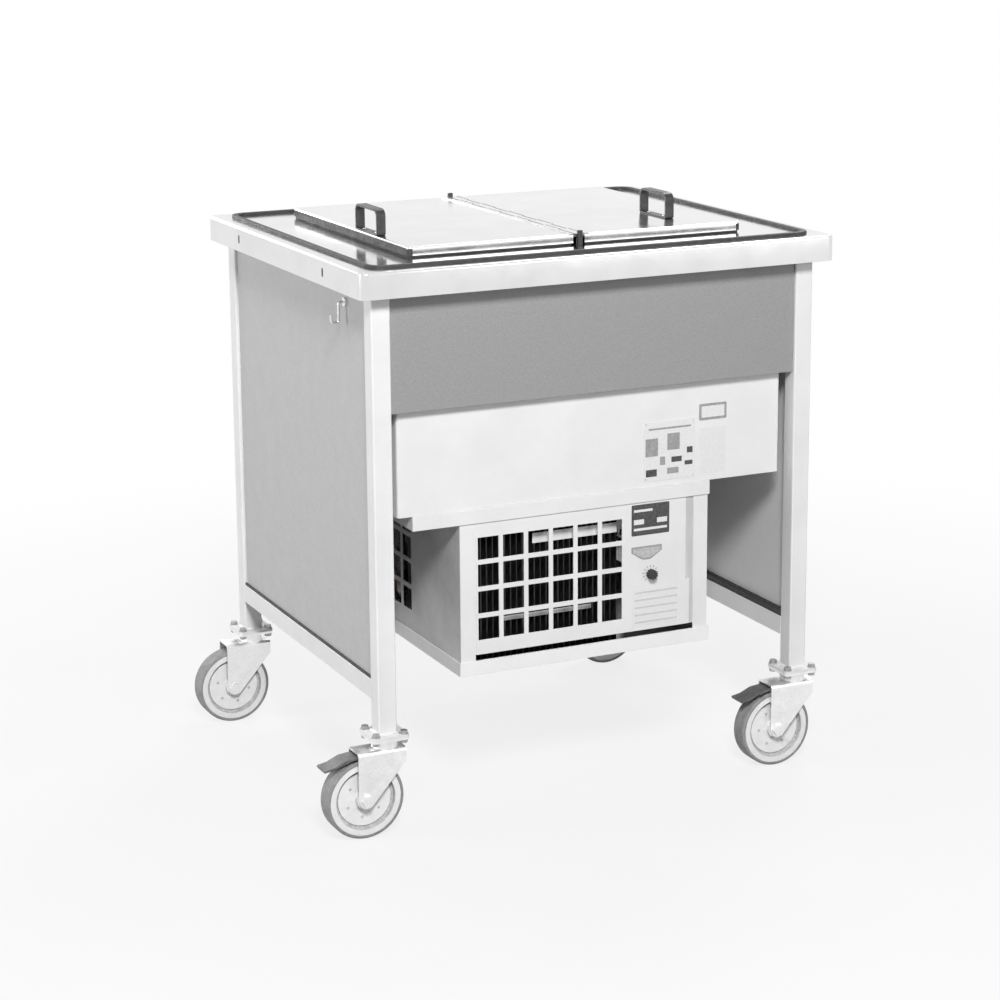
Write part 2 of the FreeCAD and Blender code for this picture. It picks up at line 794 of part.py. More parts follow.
def make_unit_front():
    """Front with the grille, a slot at the foot, a joint line, an upright recess and the knob's hole."""
    t = unit_front_sheet
    front = box(unit_left, unit_right, unit_front, unit_front + t, tray_floor, unit_top)
    y = (unit_front - cut_past, unit_front + t + cut_past)
    start = unit_left + front_grille_margin

    def opening(along, z):
        return box(start + along, start + along + grille_opening, *y, z, z + grille_opening)

    panel_x = (unit_left + stile_width, unit_right - stile_width)
    lip_top = tray_under + tray_lip
    panel_foot = lip_top + front_slot_height
    panel_top = tank_under - hanger_lip
    slot = box(*panel_x, *y, lip_top, panel_foot)
    joint_x = (panel_x[0], panel_x[0] + front_groove_width)
    joint = box(*joint_x, y[0], unit_front + front_groove_depth, panel_foot, panel_top)
    step_z = tray_under + grip_foot
    grip_y = (y[0], unit_front + grip_depth)
    grip = box(panel_x[1] - grip_width, panel_x[1], *grip_y, step_z, panel_top)
    grip_end = box(panel_x[1] - grip_foot_width, panel_x[1], *grip_y, panel_foot, step_z)
    hole_base = Vector(knob_x, y[0], knob_z)
    hole = Part.makeCylinder(knob_shaft_radius + moving_gap, t + 2 * cut_past, hole_base, Y_AXIS)
    cuts = [slot, hole, joint, grip.fuse(grip_end)]
    return front.cut(square_openings(front_grille_columns, opening) + cuts)


def make_unit_tray():
    """Base pan with raised lips outside the walls of the unit."""
    t = tray_sheet
    gap = panel_gap
    lip_top = tray_under + tray_lip
    inner = (unit_left - gap, unit_right + gap, unit_front - gap, unit_back + gap)
    pan = box(inner[0] - t, inner[1] + t, inner[2] - t, inner[3] + t, tray_under, lip_top)
    return pan.cut(box(*inner, tray_floor, lip_top + cut_past))


# Thermostat and its knob

def make_thermostat():
    """Switch body behind the unit front, with a bore for the knob's shaft."""
    half_x = thermostat_width / 2
    half_z = thermostat_height / 2
    y0 = unit_front + unit_front_sheet
    y1 = y0 + thermostat_depth
    body = box(knob_x - half_x, knob_x + half_x, y0, y1, knob_z - half_z, knob_z + half_z)
    radius = knob_shaft_radius + running_clearance
    bore = Part.makeCylinder(radius, knob_shaft_length, Vector(knob_x, y0, knob_z), Y_AXIS)
    return body.cut(bore)


def make_knob():
    """Fluted knob with a pointer ridge and a shaft into the thermostat."""
    y1 = unit_front - moving_gap
    y0 = y1 - knob_length
    knob = Part.makeCylinder(knob_radius, knob_length, Vector(knob_x, y0, knob_z), Y_AXIS)
    flutes = []
    for turn in range(knob_flutes):
        angle = 2 * math.pi * turn / knob_flutes
        place = Vector(knob_x + knob_radius * math.cos(angle), y0, knob_z + knob_radius * math.sin(angle))
        flutes.append(Part.makeCylinder(knob_flute_radius, knob_length, place, Y_AXIS))
    knob = knob.cut(flutes)
    reach = unit_front + unit_front_sheet + knob_shaft_length - moving_gap - y1
    shaft = Part.makeCylinder(knob_shaft_radius, reach, Vector(knob_x, y1, knob_z), Y_AXIS)
    return knob.fuse(shaft)


# Condenser, fan and compressor

def make_condenser():
    """Finned block: a comb outline pushed upwards, with return bends at both ends."""
    pitch = (condenser_width - fin_thickness) / (fin_count - 1)
    core_front = condenser_mid_y - condenser_core / 2
    core_back = condenser_mid_y + condenser_core / 2

    def comb(fin_edge, core_edge):
        points = []
        for fin in range(fin_count):
            x = condenser_left + fin * pitch
            points.append(Vector(x, core_edge, tray_floor))
            points.append(Vector(x, fin_edge, tray_floor))
            points.append(Vector(x + fin_thickness, fin_edge, tray_floor))
            points.append(Vector(x + fin_thickness, core_edge, tray_floor))
        return points[1:-1]

    outline = comb(condenser_front, core_front) + comb(condenser_back, core_back)[::-1]
    block = extruded(outline, Vector(0, 0, condenser_height))
    step = condenser_height / (bend_rows + 1)
    bends = []
    for row in range(bend_rows):
        z = tray_floor + step * (row + 1)
        bends.append(return_bend(condenser_left, z, 180))
        bends.append(return_bend(condenser_right, z, 0))
    return [block] + bends


def return_bend(x, z, turn):
    """Half ring of tube that joins two rows of the condenser, turned to the end it sits on."""
    centre = Vector(x, condenser_mid_y, z)
    ring = Part.makeTorus(bend_radius, bend_tube_radius, centre, Y_AXIS, -180, 180, 180)
    ring.rotate(centre, Y_AXIS, turn)
    return ring


def make_fan_shroud():
    """Plate behind the condenser with a collar round the fan."""
    y0 = condenser_back
    t = shroud_sheet
    plate = box(condenser_left, condenser_right, y0, y0 + t, tray_floor, condenser_top)
    middle = Vector(fan_x, y0, fan_z)
    collar = Part.makeCylinder(shroud_opening_radius + t, shroud_collar_depth, middle, Y_AXIS)
    hole = Part.makeCylinder(
        shroud_opening_radius, shroud_collar_depth + 2 * cut_past, middle - Y_AXIS * cut_past, Y_AXIS
    )
    return plate.fuse(collar).cut(hole).removeSplitter()


def blade_section(radius, chord, pitch):
    """Thin slanted section of a fan blade at one radius, blade standing along +Z."""
    half_chord = chord / 2
    half_thick = fan_blade_thickness / 2
    mid_y = (fan_hub_front + fan_hub_back) / 2
    cos = math.cos(math.radians(pitch))
    sin = math.sin(math.radians(pitch))
    points = []
    for i, j in ((-1, -1), (1, -1), (1, 1), (-1, 1)):
        a = i * half_chord
        b = j * half_thick
        points.append(Vector(fan_x + a * cos - b * sin, mid_y + a * sin + b * cos, fan_z + radius))
    return Part.makePolygon(points + [points[0]])


def make_fan_blade():
    """Hub with twisted blades, lofted from root to tip."""
    centre = Vector(fan_x, fan_hub_front, fan_z)
    hub = Part.makeCylinder(fan_hub_radius, fan_hub_length, centre, Y_AXIS)
    root = blade_section(fan_hub_radius - fan_root_depth, fan_root_chord, fan_root_pitch)
    tip = blade_section(fan_radius, fan_tip_chord, fan_tip_pitch)
    blade = Part.makeLoft([root, tip], True, True)
    blades = []
    for number in range(fan_blades):
        copy = blade.copy()
        copy.rotate(centre, Y_AXIS, 360 * number / fan_blades)
        blades.append(copy)
    bore = Part.makeCylinder(fan_shaft_radius + running_clearance, fan_hub_length, centre, Y_AXIS)
    reach = Part.makeCylinder(fan_radius, fan_hub_length, centre, Y_AXIS)
    return hub.fuse(blades).common(reach).cut(bore)


def make_fan_motor():
    """Motor with its shaft, on a post from the tray."""
    front = Vector(fan_x, motor_front, fan_z)
    body = Part.makeCylinder(fan_motor_radius, fan_motor_length, front, Y_AXIS)
    shaft_end = Vector(fan_x, fan_hub_front, fan_z)
    shaft = Part.makeCylinder(fan_shaft_radius, motor_front - fan_hub_front, shaft_end, Y_AXIS)
    y = motor_front + fan_motor_length / 2
    half = fan_post_width / 2
    post = box(fan_x - half, fan_x + half, y, y + fan_post_thickness, tray_floor, fan_z)
    foot = box(fan_x - half, fan_x + half, y, y + fan_post_width, tray_floor, tray_floor + fan_post_thickness)
    return body.fuse([shaft, post, foot]).removeSplitter()


def rubber_foot_places():
    half_x = compressor_foot_width / 2 - rubber_foot_inset
    half_y = compressor_foot_depth / 2 - rubber_foot_inset
    return [(compressor_x + i * half_x, compressor_y + j * half_y) for i in (-1, 1) for j in (-1, 1)]


def stub_places():
    return ((compressor_x + stub_offset, compressor_y), (compressor_x - stub_offset, compressor_y))


def make_compressor():
    """Welded pot with domed ends, a seam, a foot plate and two pipe stubs."""
    z0 = compressor_base
    z1 = compressor_top
    r = compressor_radius
    d = compressor_dome
    bow = d * (1 - math.sqrt(0.5))
    low = [Vector(0, 0, z0), Vector(r - d, 0, z0), Vector(r, 0, z0 + d)]
    high = [Vector(r, 0, z1 - d), Vector(r - d, 0, z1), Vector(0, 0, z1)]
    edges = [
        Part.LineSegment(low[0], low[1]).toShape(),
        Part.Arc(low[1], Vector(r - bow, 0, z0 + bow), low[2]).toShape(),
        Part.LineSegment(low[2], high[0]).toShape(),
        Part.Arc(high[0], Vector(r - bow, 0, z1 - bow), high[1]).toShape(),
        Part.LineSegment(high[1], high[2]).toShape(),
        Part.LineSegment(high[2], low[0]).toShape(),
    ]
    pot = Part.Face(Part.Wire(edges)).revolve(Vector(0, 0, 0), Z_AXIS, 360)
    seam_z = (z0 + z1 - compressor_seam_height) / 2
    seam = Part.makeCylinder(r + compressor_seam_width, compressor_seam_height, Vector(0, 0, seam_z))
    pot = pot.fuse(seam)
    pot.translate(Vector(compressor_x, compressor_y, 0))
    half_x = compressor_foot_width / 2
    half_y = compressor_foot_depth / 2
    foot = rounded_plate(half_x, half_y, z0 - compressor_foot_sheet, z0, rubber_foot_inset)
    foot.translate(Vector(compressor_x, compressor_y, 0))
    stubs = [Part.makeCylinder(stub_radius, stub_top - z1, Vector(x, y, z1)) for x, y in stub_places()]
    return pot.fuse([foot] + stubs).removeSplitter()


def make_compressor_feet():
    return [
        Part.makeCylinder(rubber_foot_radius, rubber_foot_height, Vector(x, y, tray_floor))
        for x, y in rubber_foot_places()
    ]


def make_pipes():
    """Suction, discharge and liquid pipes between compressor, condenser and evaporator."""
    (dx, dy), (sx, sy) = stub_places()
    end_z = evaporator_under
    suction = [
        Vector(sx, sy, stub_top),
        Vector(sx, sy, pipe_level),
        Vector(suction_x, sy, pipe_level),
        Vector(suction_x, sy, end_z),
    ]
    discharge = [
        Vector(dx, dy, stub_top),
        Vector(dx, dy, pipe_level),
        Vector(dx, condenser_mid_y, pipe_level),
        Vector(condenser_right, condenser_mid_y, pipe_level),
    ]
    outlet = [
        Vector(condenser_left, condenser_mid_y, liquid_z),
        Vector(liquid_x, condenser_mid_y, liquid_z),
        Vector(liquid_x, liquid_y, liquid_z),
        Vector(liquid_x, liquid_y, drier_base),
    ]
    drier_top = drier_base + drier_length
    riser = Part.makeCylinder(pipe_radius, end_z - drier_top, Vector(liquid_x, liquid_y, drier_top))
    bent = [bent_pipe(route, pipe_bend, pipe_radius) for route in (suction, discharge, outlet)]
    return bent + [riser]


def make_drier():
    """Filter drier, a drawn can with tapered ends."""
    taper = drier_radius
    z0 = drier_base
    z1 = drier_base + drier_length
    half = [
        Vector(0, 0, z0),
        Vector(pipe_radius, 0, z0),
        Vector(drier_radius, 0, z0 + taper),
        Vector(drier_radius, 0, z1 - taper),
        Vector(pipe_radius, 0, z1),
        Vector(0, 0, z1),
    ]
    can = Part.Face(Part.makePolygon(half + [half[0]])).revolve(Vector(0, 0, 0), Z_AXIS, 360)
    can.translate(Vector(liquid_x, liquid_y, 0))
    return can


# Castors

def make_castor_plate(x, y):
    """Top plate with the bearing race and the riveted king pin."""
    top = castor_height
    plate = square_plate(x, y, top - castor_plate_sheet, top)
    race = Part.makeCone(
        race_radius, race_radius + fork_sheet, race_height, Vector(x, y, race_under)
    )
    head_top = crown_under - moving_gap
    pin = Part.makeCylinder(king_pin_radius, race_under - head_top, Vector(x, y, head_top))
    head = Part.makeCylinder(
        king_pin_head_radius, king_pin_head_height, Vector(x, y, head_top - king_pin_head_height)
    )
    return plate.fuse([race, pin, head]).removeSplitter()


def tangent_point(outside, centre, radius, side):
    """Where a line from an outside point touches a circle in the XZ plane."""
    line = outside - centre
    angle = math.atan2(line.z, line.x) + side * math.acos(radius / line.Length)
    return centre + Vector(radius * math.cos(angle), 0, radius * math.sin(angle))


def fork_outline(x, y):
    """Side view of the fork: straight back edge, boss round the axle, slanted front edge."""
    axle = Vector(x - castor_trail, y, wheel_radius)
    r = fork_boss_radius
    back_top = Vector(axle.x - r, y, crown_top)
    front_top = Vector(x + fork_front_reach, y, crown_top)
    front_low = front_top - Z_AXIS * fork_shoulder
    touch = tangent_point(front_low, axle, r, -1)
    back_low = axle - X_AXIS * r
    edges = [
        Part.LineSegment(back_top, front_top).toShape(),
        Part.LineSegment(front_top, front_low).toShape(),
        Part.LineSegment(front_low, touch).toShape(),
        Part.Arc(touch, axle - Z_AXIS * r, back_low).toShape(),
        Part.LineSegment(back_low, back_top).toShape(),
    ]
    return Part.Face(Part.Wire(edges))


def make_fork(x, y, brake):
    """Fork pressed from one sheet: a U section trimmed to the side view, with the swivel ring on top."""
    low = wheel_radius - fork_boss_radius - cut_past
    x0 = x - castor_trail - fork_boss_radius
    x1 = x + fork_front_reach
    outside = box(x0, x1, y - fork_outer, y + fork_outer, low, crown_top)
    outside = outside.makeFillet(fork_bend, edges_across(outside, crown_top))
    inside = box(x0 - cut_past, x1 + cut_past, y - fork_inner, y + fork_inner, low - cut_past, crown_under)
    inside = inside.makeFillet(fork_bend - fork_sheet, edges_across(inside, crown_under))
    reach = fork_outer + cut_past
    outline = fork_outline(x, y - reach).extrude(Vector(0, 2 * reach, 0))
    fork = outside.cut(inside).common(outline)
    ring_top = race_under - moving_gap
    ring_base = Vector(x, y, crown_top - fork_ring_sink)
    ring = Part.makeCylinder(fork_ring_radius, ring_top - ring_base.z, ring_base)
    pin_base = Vector(x, y, crown_under - cut_past)
    pin_reach = ring_top - pin_base.z + cut_past
    pin_hole = Part.makeCylinder(king_pin_radius + running_clearance, pin_reach, pin_base)
    axle_hole = Part.makeCylinder(
        axle_radius + running_clearance, 2 * reach, Vector(x - castor_trail, y - reach, wheel_radius), Y_AXIS
    )
    cuts = [pin_hole, axle_hole]
    if brake:
        radius = brake_pivot_radius + running_clearance
        place = Vector(x - brake_pivot_back, y - reach, brake_pivot_z)
        cuts.append(Part.makeCylinder(radius, 2 * reach, place, Y_AXIS))
    return fork.fuse(ring).cut(cuts).removeSplitter()


def make_axle(x, y):
    """Axle bolt with a hexagonal head in front and a nut behind."""
    front = Vector(x - castor_trail, y - fork_outer, wheel_radius)
    back = Vector(x - castor_trail, y + fork_outer, wheel_radius)
    shank = Part.makeCylinder(axle_radius, 2 * fork_outer, front, Y_AXIS)
    head = hexagon(front, axle_head_flats, -Y_AXIS * axle_head_height)
    nut = hexagon(back, axle_head_flats, Y_AXIS * axle_head_height)
    return shank.fuse([head, nut])


def make_brake_pin(x, y):
    place = Vector(x - brake_pivot_back, y - fork_outer, brake_pivot_z)
    return Part.makeCylinder(brake_pivot_radius, 2 * fork_outer, place, Y_AXIS)


def turned(half, x, y):
    """Wheel part from the outline of its section: radius first, then distance along the axle."""
    points = [Vector(r, a, 0) for r, a in half]
    body = Part.Face(Part.makePolygon(points + [points[0]])).revolve(Vector(0, 0, 0), Y_AXIS, 360)
    body.translate(Vector(x - castor_trail, y, wheel_radius))
    return body


def make_wheel(x, y):
    """Wheel centre: boss, disc, ring groove and rim."""
    bore = axle_radius + running_clearance
    groove_outer = rim_radius - rim_ring
    groove_inner = groove_outer - groove_ring
    right = [
        (bore, hub_width / 2),
        (hub_boss_radius, hub_width / 2),
        (hub_boss_radius, disc_width / 2),
        (groove_inner, disc_width / 2),
        (groove_inner, disc_width / 2 - groove_depth),
        (groove_outer, disc_width / 2 - groove_depth),
        (groove_outer, rim_width / 2),
        (rim_radius, rim_width / 2),
    ]
    left = [(r, -a) for r, a in right]
    return turned(right + left[::-1], x, y)


def make_tyre(x, y):
    """Solid tyre with rounded shoulders."""
    r = wheel_radius
    a = tyre_width / 2
    s = tyre_shoulder
    bow = s * (1 - math.sqrt(0.5))
    edges = [
        Part.LineSegment(Vector(rim_radius, -a, 0), Vector(r - s, -a, 0)).toShape(),
        Part.Arc(Vector(r - s, -a, 0), Vector(r - bow, -a + bow, 0), Vector(r, -a + s, 0)).toShape(),
        Part.LineSegment(Vector(r, -a + s, 0), Vector(r, a - s, 0)).toShape(),
        Part.Arc(Vector(r, a - s, 0), Vector(r - bow, a - bow, 0), Vector(r - s, a, 0)).toShape(),
        Part.LineSegment(Vector(r - s, a, 0), Vector(rim_radius, a, 0)).toShape(),
        Part.LineSegment(Vector(rim_radius, a, 0), Vector(rim_radius, -a, 0)).toShape(),
    ]
    tyre = Part.Face(Part.Wire(edges)).revolve(Vector(0, 0, 0), Y_AXIS, 360)
    tyre.translate(Vector(x - castor_trail, y, wheel_radius))
    return tyre


def make_brake(x, y):
    """Brake pedal: a bent plate on a pivot in the fork, with a pad over the tyre."""
    px = x - brake_pivot_back
    pz = brake_pivot_z
    half = fork_inner - brake_side_gap
    t = brake_sheet / 2
    line = [
        (px, pz),
        (px - brake_bend_back, pz - brake_bend_drop),
        (px - brake_heel_back, pz - brake_heel_drop),
        (px - brake_tip_back, pz - brake_tip_drop),
    ]
    upper = [Vector(a, y - half, b + t) for a, b in line]
    lower = [Vector(a, y - half, b - t) for a, b in line]
    pedal = extruded(upper + lower[::-1], Vector(0, 2 * half, 0))
    boss = Part.makeCylinder(brake_boss_radius, 2 * half, Vector(px, y - half, pz), Y_AXIS)
    pad_x = px - brake_pad_start
    pad = box(pad_x - brake_pad_length, pad_x, y - half, y + half, pz - brake_bend_back, pz - brake_bend_drop)
    tyre_room = Part.makeCylinder(
        wheel_radius + brake_pad_gap, 2 * half, Vector(x - castor_trail, y - half, wheel_radius), Y_AXIS
    )
    pad = pad.cut(tyre_room)
    bore = Part.makeCylinder(
        brake_pivot_radius + running_clearance, 2 * half, Vector(px, y - half, pz), Y_AXIS
    )
    return pedal.fuse([boss, pad]).cut(bore).removeSplitter()


os.makedirs("parts", exist_ok=True)

save("worktop", make_worktop())
save("rim_seal", make_rim_seal())
for corner_name, (corner_x, corner_y) in corners.items():
    castor_x = corner_x * leg_axis_x
    castor_y = corner_y * leg_axis_y
    has_brake = corner_name in braked
    save(f"leg_{corner_name}", make_leg(corner_x, corner_y))
    save(f"castor_plate_{corner_name}", make_castor_plate(castor_x, castor_y))
    fork_solids = [make_fork(castor_x, castor_y, has_brake), make_axle(castor_x, castor_y)]
    if has_brake:
        fork_solids.append(make_brake_pin(castor_x, castor_y))
        save(f"castor_brake_{corner_name}", make_brake(castor_x, castor_y))
    save(f"castor_fork_{corner_name}", *fork_solids)
    save(f"castor_wheel_{corner_name}", make_wheel(castor_x, castor_y))
    save(f"castor_tyre_{corner_name}", make_tyre(castor_x, castor_y))
save("lower_rail_left", make_side_rail(-1))
save("lower_rail_right", make_side_rail(1))
save("lower_rail_back", make_back_rail())
save("top_frame", *make_top_frame())
save("panel_left", make_side_panel(-1))
save("panel_right", make_side_panel(1))
save("panel_back", make_back_panel())
save("apron_front", make_front_apron())
save("panel_hook", make_panel_hook())
save("tank_casing", make_tank_casing())
save("insulation", make_insulation())
save("evaporator", make_evaporator())
save("well_liner", make_well_liner())
save("centre_bar", make_centre_bar())
save("bar_end_caps", *make_end_caps())
save("hinge_pins", *make_hinge_pins())
save("lid_left", make_lid(-1))
save("lid_right", make_lid(1))
save("lid_gasket_left", make_gasket(-1))
save("lid_gasket_right", make_gasket(1))
left_handle_x = -lid_x + left_handle_inset + handle_width / 2
right_handle_x = lid_x - right_handle_inset - handle_width / 2
save("lid_handle_left", make_handle(left_handle_x, -left_handle_forward))
save("lid_handle_right", make_handle(right_handle_x, -right_handle_forward))
save("unit_hanger", make_unit_hanger())
save("unit_shell", make_unit_side(unit_left, 1), make_unit_side(unit_right, -1), make_unit_back())
save("unit_front", make_unit_front())
save("unit_tray", make_unit_tray())
save("thermostat", make_thermostat())
save("thermostat_knob", make_knob())
save("condenser", *make_condenser())
save("fan_shroud", make_fan_shroud())
save("fan_blade", make_fan_blade())
save("fan_motor", make_fan_motor())
save("compressor", make_compressor())
save("compressor_feet", *make_compressor_feet())
save("refrigerant_pipes", *make_pipes())
save("filter_drier", make_drier())
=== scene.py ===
import json
import math

import bmesh
import bpy
from mathutils import Euler, Matrix, Vector


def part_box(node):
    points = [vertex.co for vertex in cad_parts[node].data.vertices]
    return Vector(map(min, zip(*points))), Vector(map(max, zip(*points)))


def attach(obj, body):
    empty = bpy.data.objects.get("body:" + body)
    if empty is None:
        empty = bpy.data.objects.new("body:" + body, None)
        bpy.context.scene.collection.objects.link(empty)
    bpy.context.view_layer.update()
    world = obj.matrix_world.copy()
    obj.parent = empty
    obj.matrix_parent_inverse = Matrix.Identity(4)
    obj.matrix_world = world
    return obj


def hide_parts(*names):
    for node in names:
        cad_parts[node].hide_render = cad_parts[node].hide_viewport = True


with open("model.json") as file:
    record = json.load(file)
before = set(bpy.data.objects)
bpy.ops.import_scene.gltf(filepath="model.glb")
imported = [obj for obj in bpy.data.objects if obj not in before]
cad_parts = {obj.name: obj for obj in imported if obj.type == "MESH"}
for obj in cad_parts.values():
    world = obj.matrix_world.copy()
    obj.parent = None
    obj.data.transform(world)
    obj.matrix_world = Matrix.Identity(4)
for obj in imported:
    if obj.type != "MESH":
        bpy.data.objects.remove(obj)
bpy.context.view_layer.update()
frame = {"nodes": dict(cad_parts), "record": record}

# Castor plates and forks: pressed from steel sheet and bright zinc plated.
# The plate carries the race and the king pin; the fork turns under it and holds the axle bolt.
# The plating is cloudy, and dust from the floor dulls it.
corners = ("front_left", "front_right", "back_left", "back_right")
weld_distance = 1e-6
flat_turn = math.radians(0.5)
crease_turn = math.radians(32)
pressed_edge = 0.0006
bodies = frame["record"]["behaviour"]["bodies"]
body_of_node = {node: body for body, nodes in bodies.items() for node in nodes}
slot_of_node = {part["node"]: part["material_slot"] for part in frame["record"]["subparts"]}


def linked(name, mesh):
    piece = bpy.data.objects.new(name, mesh)
    bpy.context.scene.collection.objects.link(piece)
    return piece


def plain_mesh(piece):
    """Turns a piece with modifiers into a plain mesh."""
    bpy.context.view_layer.update()
    shown = piece.evaluated_get(bpy.context.evaluated_depsgraph_get())
    mesh = bpy.data.meshes.new_from_object(shown)
    piece.modifiers.clear()
    piece.data = mesh


def soften(piece, edge):
    """Smooth curves, sharp creases and edges broken by a small radius."""
    for face in piece.data.polygons:
        face.use_smooth = True
    piece.data.set_sharp_from_angle(angle=crease_turn)
    if edge:
        rounding = piece.modifiers.new("broken_edge", "BEVEL")
        rounding.width = edge
        rounding.segments = 2
        rounding.limit_method = "ANGLE"
        rounding.angle_limit = crease_turn
        rounding.harden_normals = True
        plain_mesh(piece)


def dressed(node, finish, edge=0.0):
    """Merged and softened copy of one solid, which stands for it on its body."""
    mesh = frame["nodes"][node].data.copy()
    work = bmesh.new()
    work.from_mesh(mesh)
    bmesh.ops.remove_doubles(work, verts=work.verts, dist=weld_distance)
    bmesh.ops.dissolve_limit(work, angle_limit=flat_turn, verts=work.verts, edges=work.edges)
    work.to_mesh(mesh)
    work.free()
    mesh.materials.clear()
    mesh.materials.append(finish)
    piece = linked(f"{node}_skin", mesh)
    soften(piece, edge)
    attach(piece, body_of_node[node])
    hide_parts(node)
    return piece


def new_finish(name):
    """Material with one Principled shader; gives the material, its tree and the shader."""
    finish = bpy.data.materials.new(name)
    finish.use_nodes = True
    return finish, finish.node_tree, finish.node_tree.nodes["Principled BSDF"]


def put(tree, kind, **values):
    """Adds a node and sets its sockets by name, with _ for a space."""
    node = tree.nodes.new(kind)
    for name, value in values.items():
        node.inputs[name.replace("_", " ")].default_value = value
    return node


def new_effect(name, output, **inputs):
    """Empty node group with number inputs and one number output."""
    group = bpy.data.node_groups.new(name, "ShaderNodeTree")
    for label, value in inputs.items():
        socket = group.interface.new_socket(label, in_out="INPUT", socket_type="NodeSocketFloat")
        socket.default_value = value
    group.interface.new_socket(output, in_out="OUTPUT", socket_type="NodeSocketFloat")
    return group, group.nodes.new("NodeGroupInput"), group.nodes.new("NodeGroupOutput")


def use_effect(tree, group, **values):
    """Places a node group in a material with its own values and gives its output."""
    node = tree.nodes.new("ShaderNodeGroup")
    node.node_tree = group
    for name, value in values.items():
        node.inputs[name].default_value = value
    return node.outputs[0]


def make_mottle():
    """Soft cloudy change between two values."""
    group, start, end = new_effect("mottle", "Value", Scale=20.0, Low=0.0, High=1.0)
    place = group.nodes.new("ShaderNodeTexCoord")
    noise = put(group, "ShaderNodeTexNoise", Detail=5.0, Roughness=0.6)
    spread = put(group, "ShaderNodeMapRange", From_Min=0.35, From_Max=0.65)
    group.links.new(place.outputs["Object"], noise.inputs["Vector"])
    group.links.new(start.outputs["Scale"], noise.inputs["Scale"])
    group.links.new(noise.outputs["Fac"], spread.inputs["Value"])
    group.links.new(start.outputs["Low"], spread.inputs["To Min"])
    group.links.new(start.outputs["High"], spread.inputs["To Max"])
    group.links.new(spread.outputs["Result"], end.inputs["Value"])
    return group


def make_floor_dust():
    """Cloudy dust that thins out with height above the floor."""
    group, start, end = new_effect("floor_dust", "Mask", Reach=0.25, Amount=0.5)
    place = group.nodes.new("ShaderNodeTexCoord")
    split = group.nodes.new("ShaderNodeSeparateXYZ")
    fade = put(group, "ShaderNodeMapRange", To_Min=1.0, To_Max=0.0)
    cloud = use_effect(group, mottle, Scale=55.0, Low=0.2, High=1.0)
    share = group.nodes.new("ShaderNodeMath")
    share.operation = "MULTIPLY"
    total = group.nodes.new("ShaderNodeMath")
    total.operation = "MULTIPLY"
    group.links.new(place.outputs["Object"], split.inputs["Vector"])
    group.links.new(split.outputs["Z"], fade.inputs["Value"])
    group.links.new(start.outputs["Reach"], fade.inputs["From Max"])
    group.links.new(fade.outputs["Result"], share.inputs[0])
    group.links.new(cloud, share.inputs[1])
    group.links.new(share.outputs["Value"], total.inputs[0])
    group.links.new(start.outputs["Amount"], total.inputs[1])
    group.links.new(total.outputs["Value"], end.inputs["Mask"])
    return group


mottle = make_mottle()
floor_dust = make_floor_dust()


def grey_mix(tree, factor, first, second):
    """Colour between two greys, or between a colour and a grey, by a factor."""
    mix = tree.nodes.new("ShaderNodeMix")
    mix.data_type = "RGBA"
    for socket, value in ((mix.inputs["A"], first), (mix.inputs["B"], second)):
        if isinstance(value, float):
            socket.default_value = (value, value, value, 1)
        else:
            tree.links.new(value, socket)
    tree.links.new(factor, mix.inputs["Factor"])
    return mix.outputs["Result"]


def raise_by(tree, shader, height, strength, distance):
    """Feeds a height into the shader's normal."""
    bump = put(tree, "ShaderNodeBump", Strength=strength, Distance=distance)
    tree.links.new(height, bump.inputs["Height"])
    tree.links.new(bump.outputs["Normal"], shader.inputs["Normal"])


def make_zinc():
    finish, tree, shader = new_finish("bright_zinc")
    shader.inputs["Metallic"].default_value = 1.0
    cells = put(tree, "ShaderNodeTexVoronoi", Scale=260.0)
    place = tree.nodes.new("ShaderNodeTexCoord")
    tree.links.new(place.outputs["Object"], cells.inputs["Vector"])
    plating = grey_mix(tree, cells.outputs["Distance"], 0.88, 0.78)
    dust = use_effect(tree, floor_dust, Reach=0.16, Amount=0.25)
    tree.links.new(grey_mix(tree, dust, plating, 0.55), shader.inputs["Base Color"])
    tree.links.new(use_effect(tree, mottle, Scale=60.0, Low=0.28, High=0.46), shader.inputs["Roughness"])
    raise_by(tree, shader, use_effect(tree, mottle, Scale=1400.0), 0.08, 0.0004)
    return finish


zinc = make_zinc()
for corner in corners:
    dressed(f"castor_plate_{corner}", zinc, pressed_edge)
    dressed(f"castor_fork_{corner}", zinc, pressed_edge)

# Wheels: a light grey moulded centre that turns on the axle, with a grey tyre moulded round it.
# The tread is dulled; the ring groove and six moulding marks on each face are a darker grey plastic.
groove_inner = 0.0435
groove_outer = 0.0475
groove_margin = 0.001
disc_half = 0.009
wheel_edge = 0.0008
mark_circle = 0.029
mark_count = 6
mark_radius = 0.0026
mark_height = 0.0003
head_sides = 20
head_crown = 0.7
mark_turn = {"front_left": 22.0, "front_right": 2.0, "back_left": 44.0, "back_right": 30.0}
facing_up = 0.0
facing_front = math.pi / 2
facing_back = -math.pi / 2


def make_wheel_plastic():
    finish, tree, shader = new_finish("light_grey_wheel_plastic")
    clean = grey_mix(tree, use_effect(tree, mottle, Scale=70.0), 0.86, 0.92)
    dust = use_effect(tree, floor_dust, Reach=0.12, Amount=0.16)
    tree.links.new(grey_mix(tree, dust, clean, 0.45), shader.inputs["Base Color"])
    tree.links.new(use_effect(tree, mottle, Scale=180.0, Low=0.36, High=0.55), shader.inputs["Roughness"])
    raise_by(tree, shader, use_effect(tree, mottle, Scale=900.0), 0.12, 0.0005)
    return finish


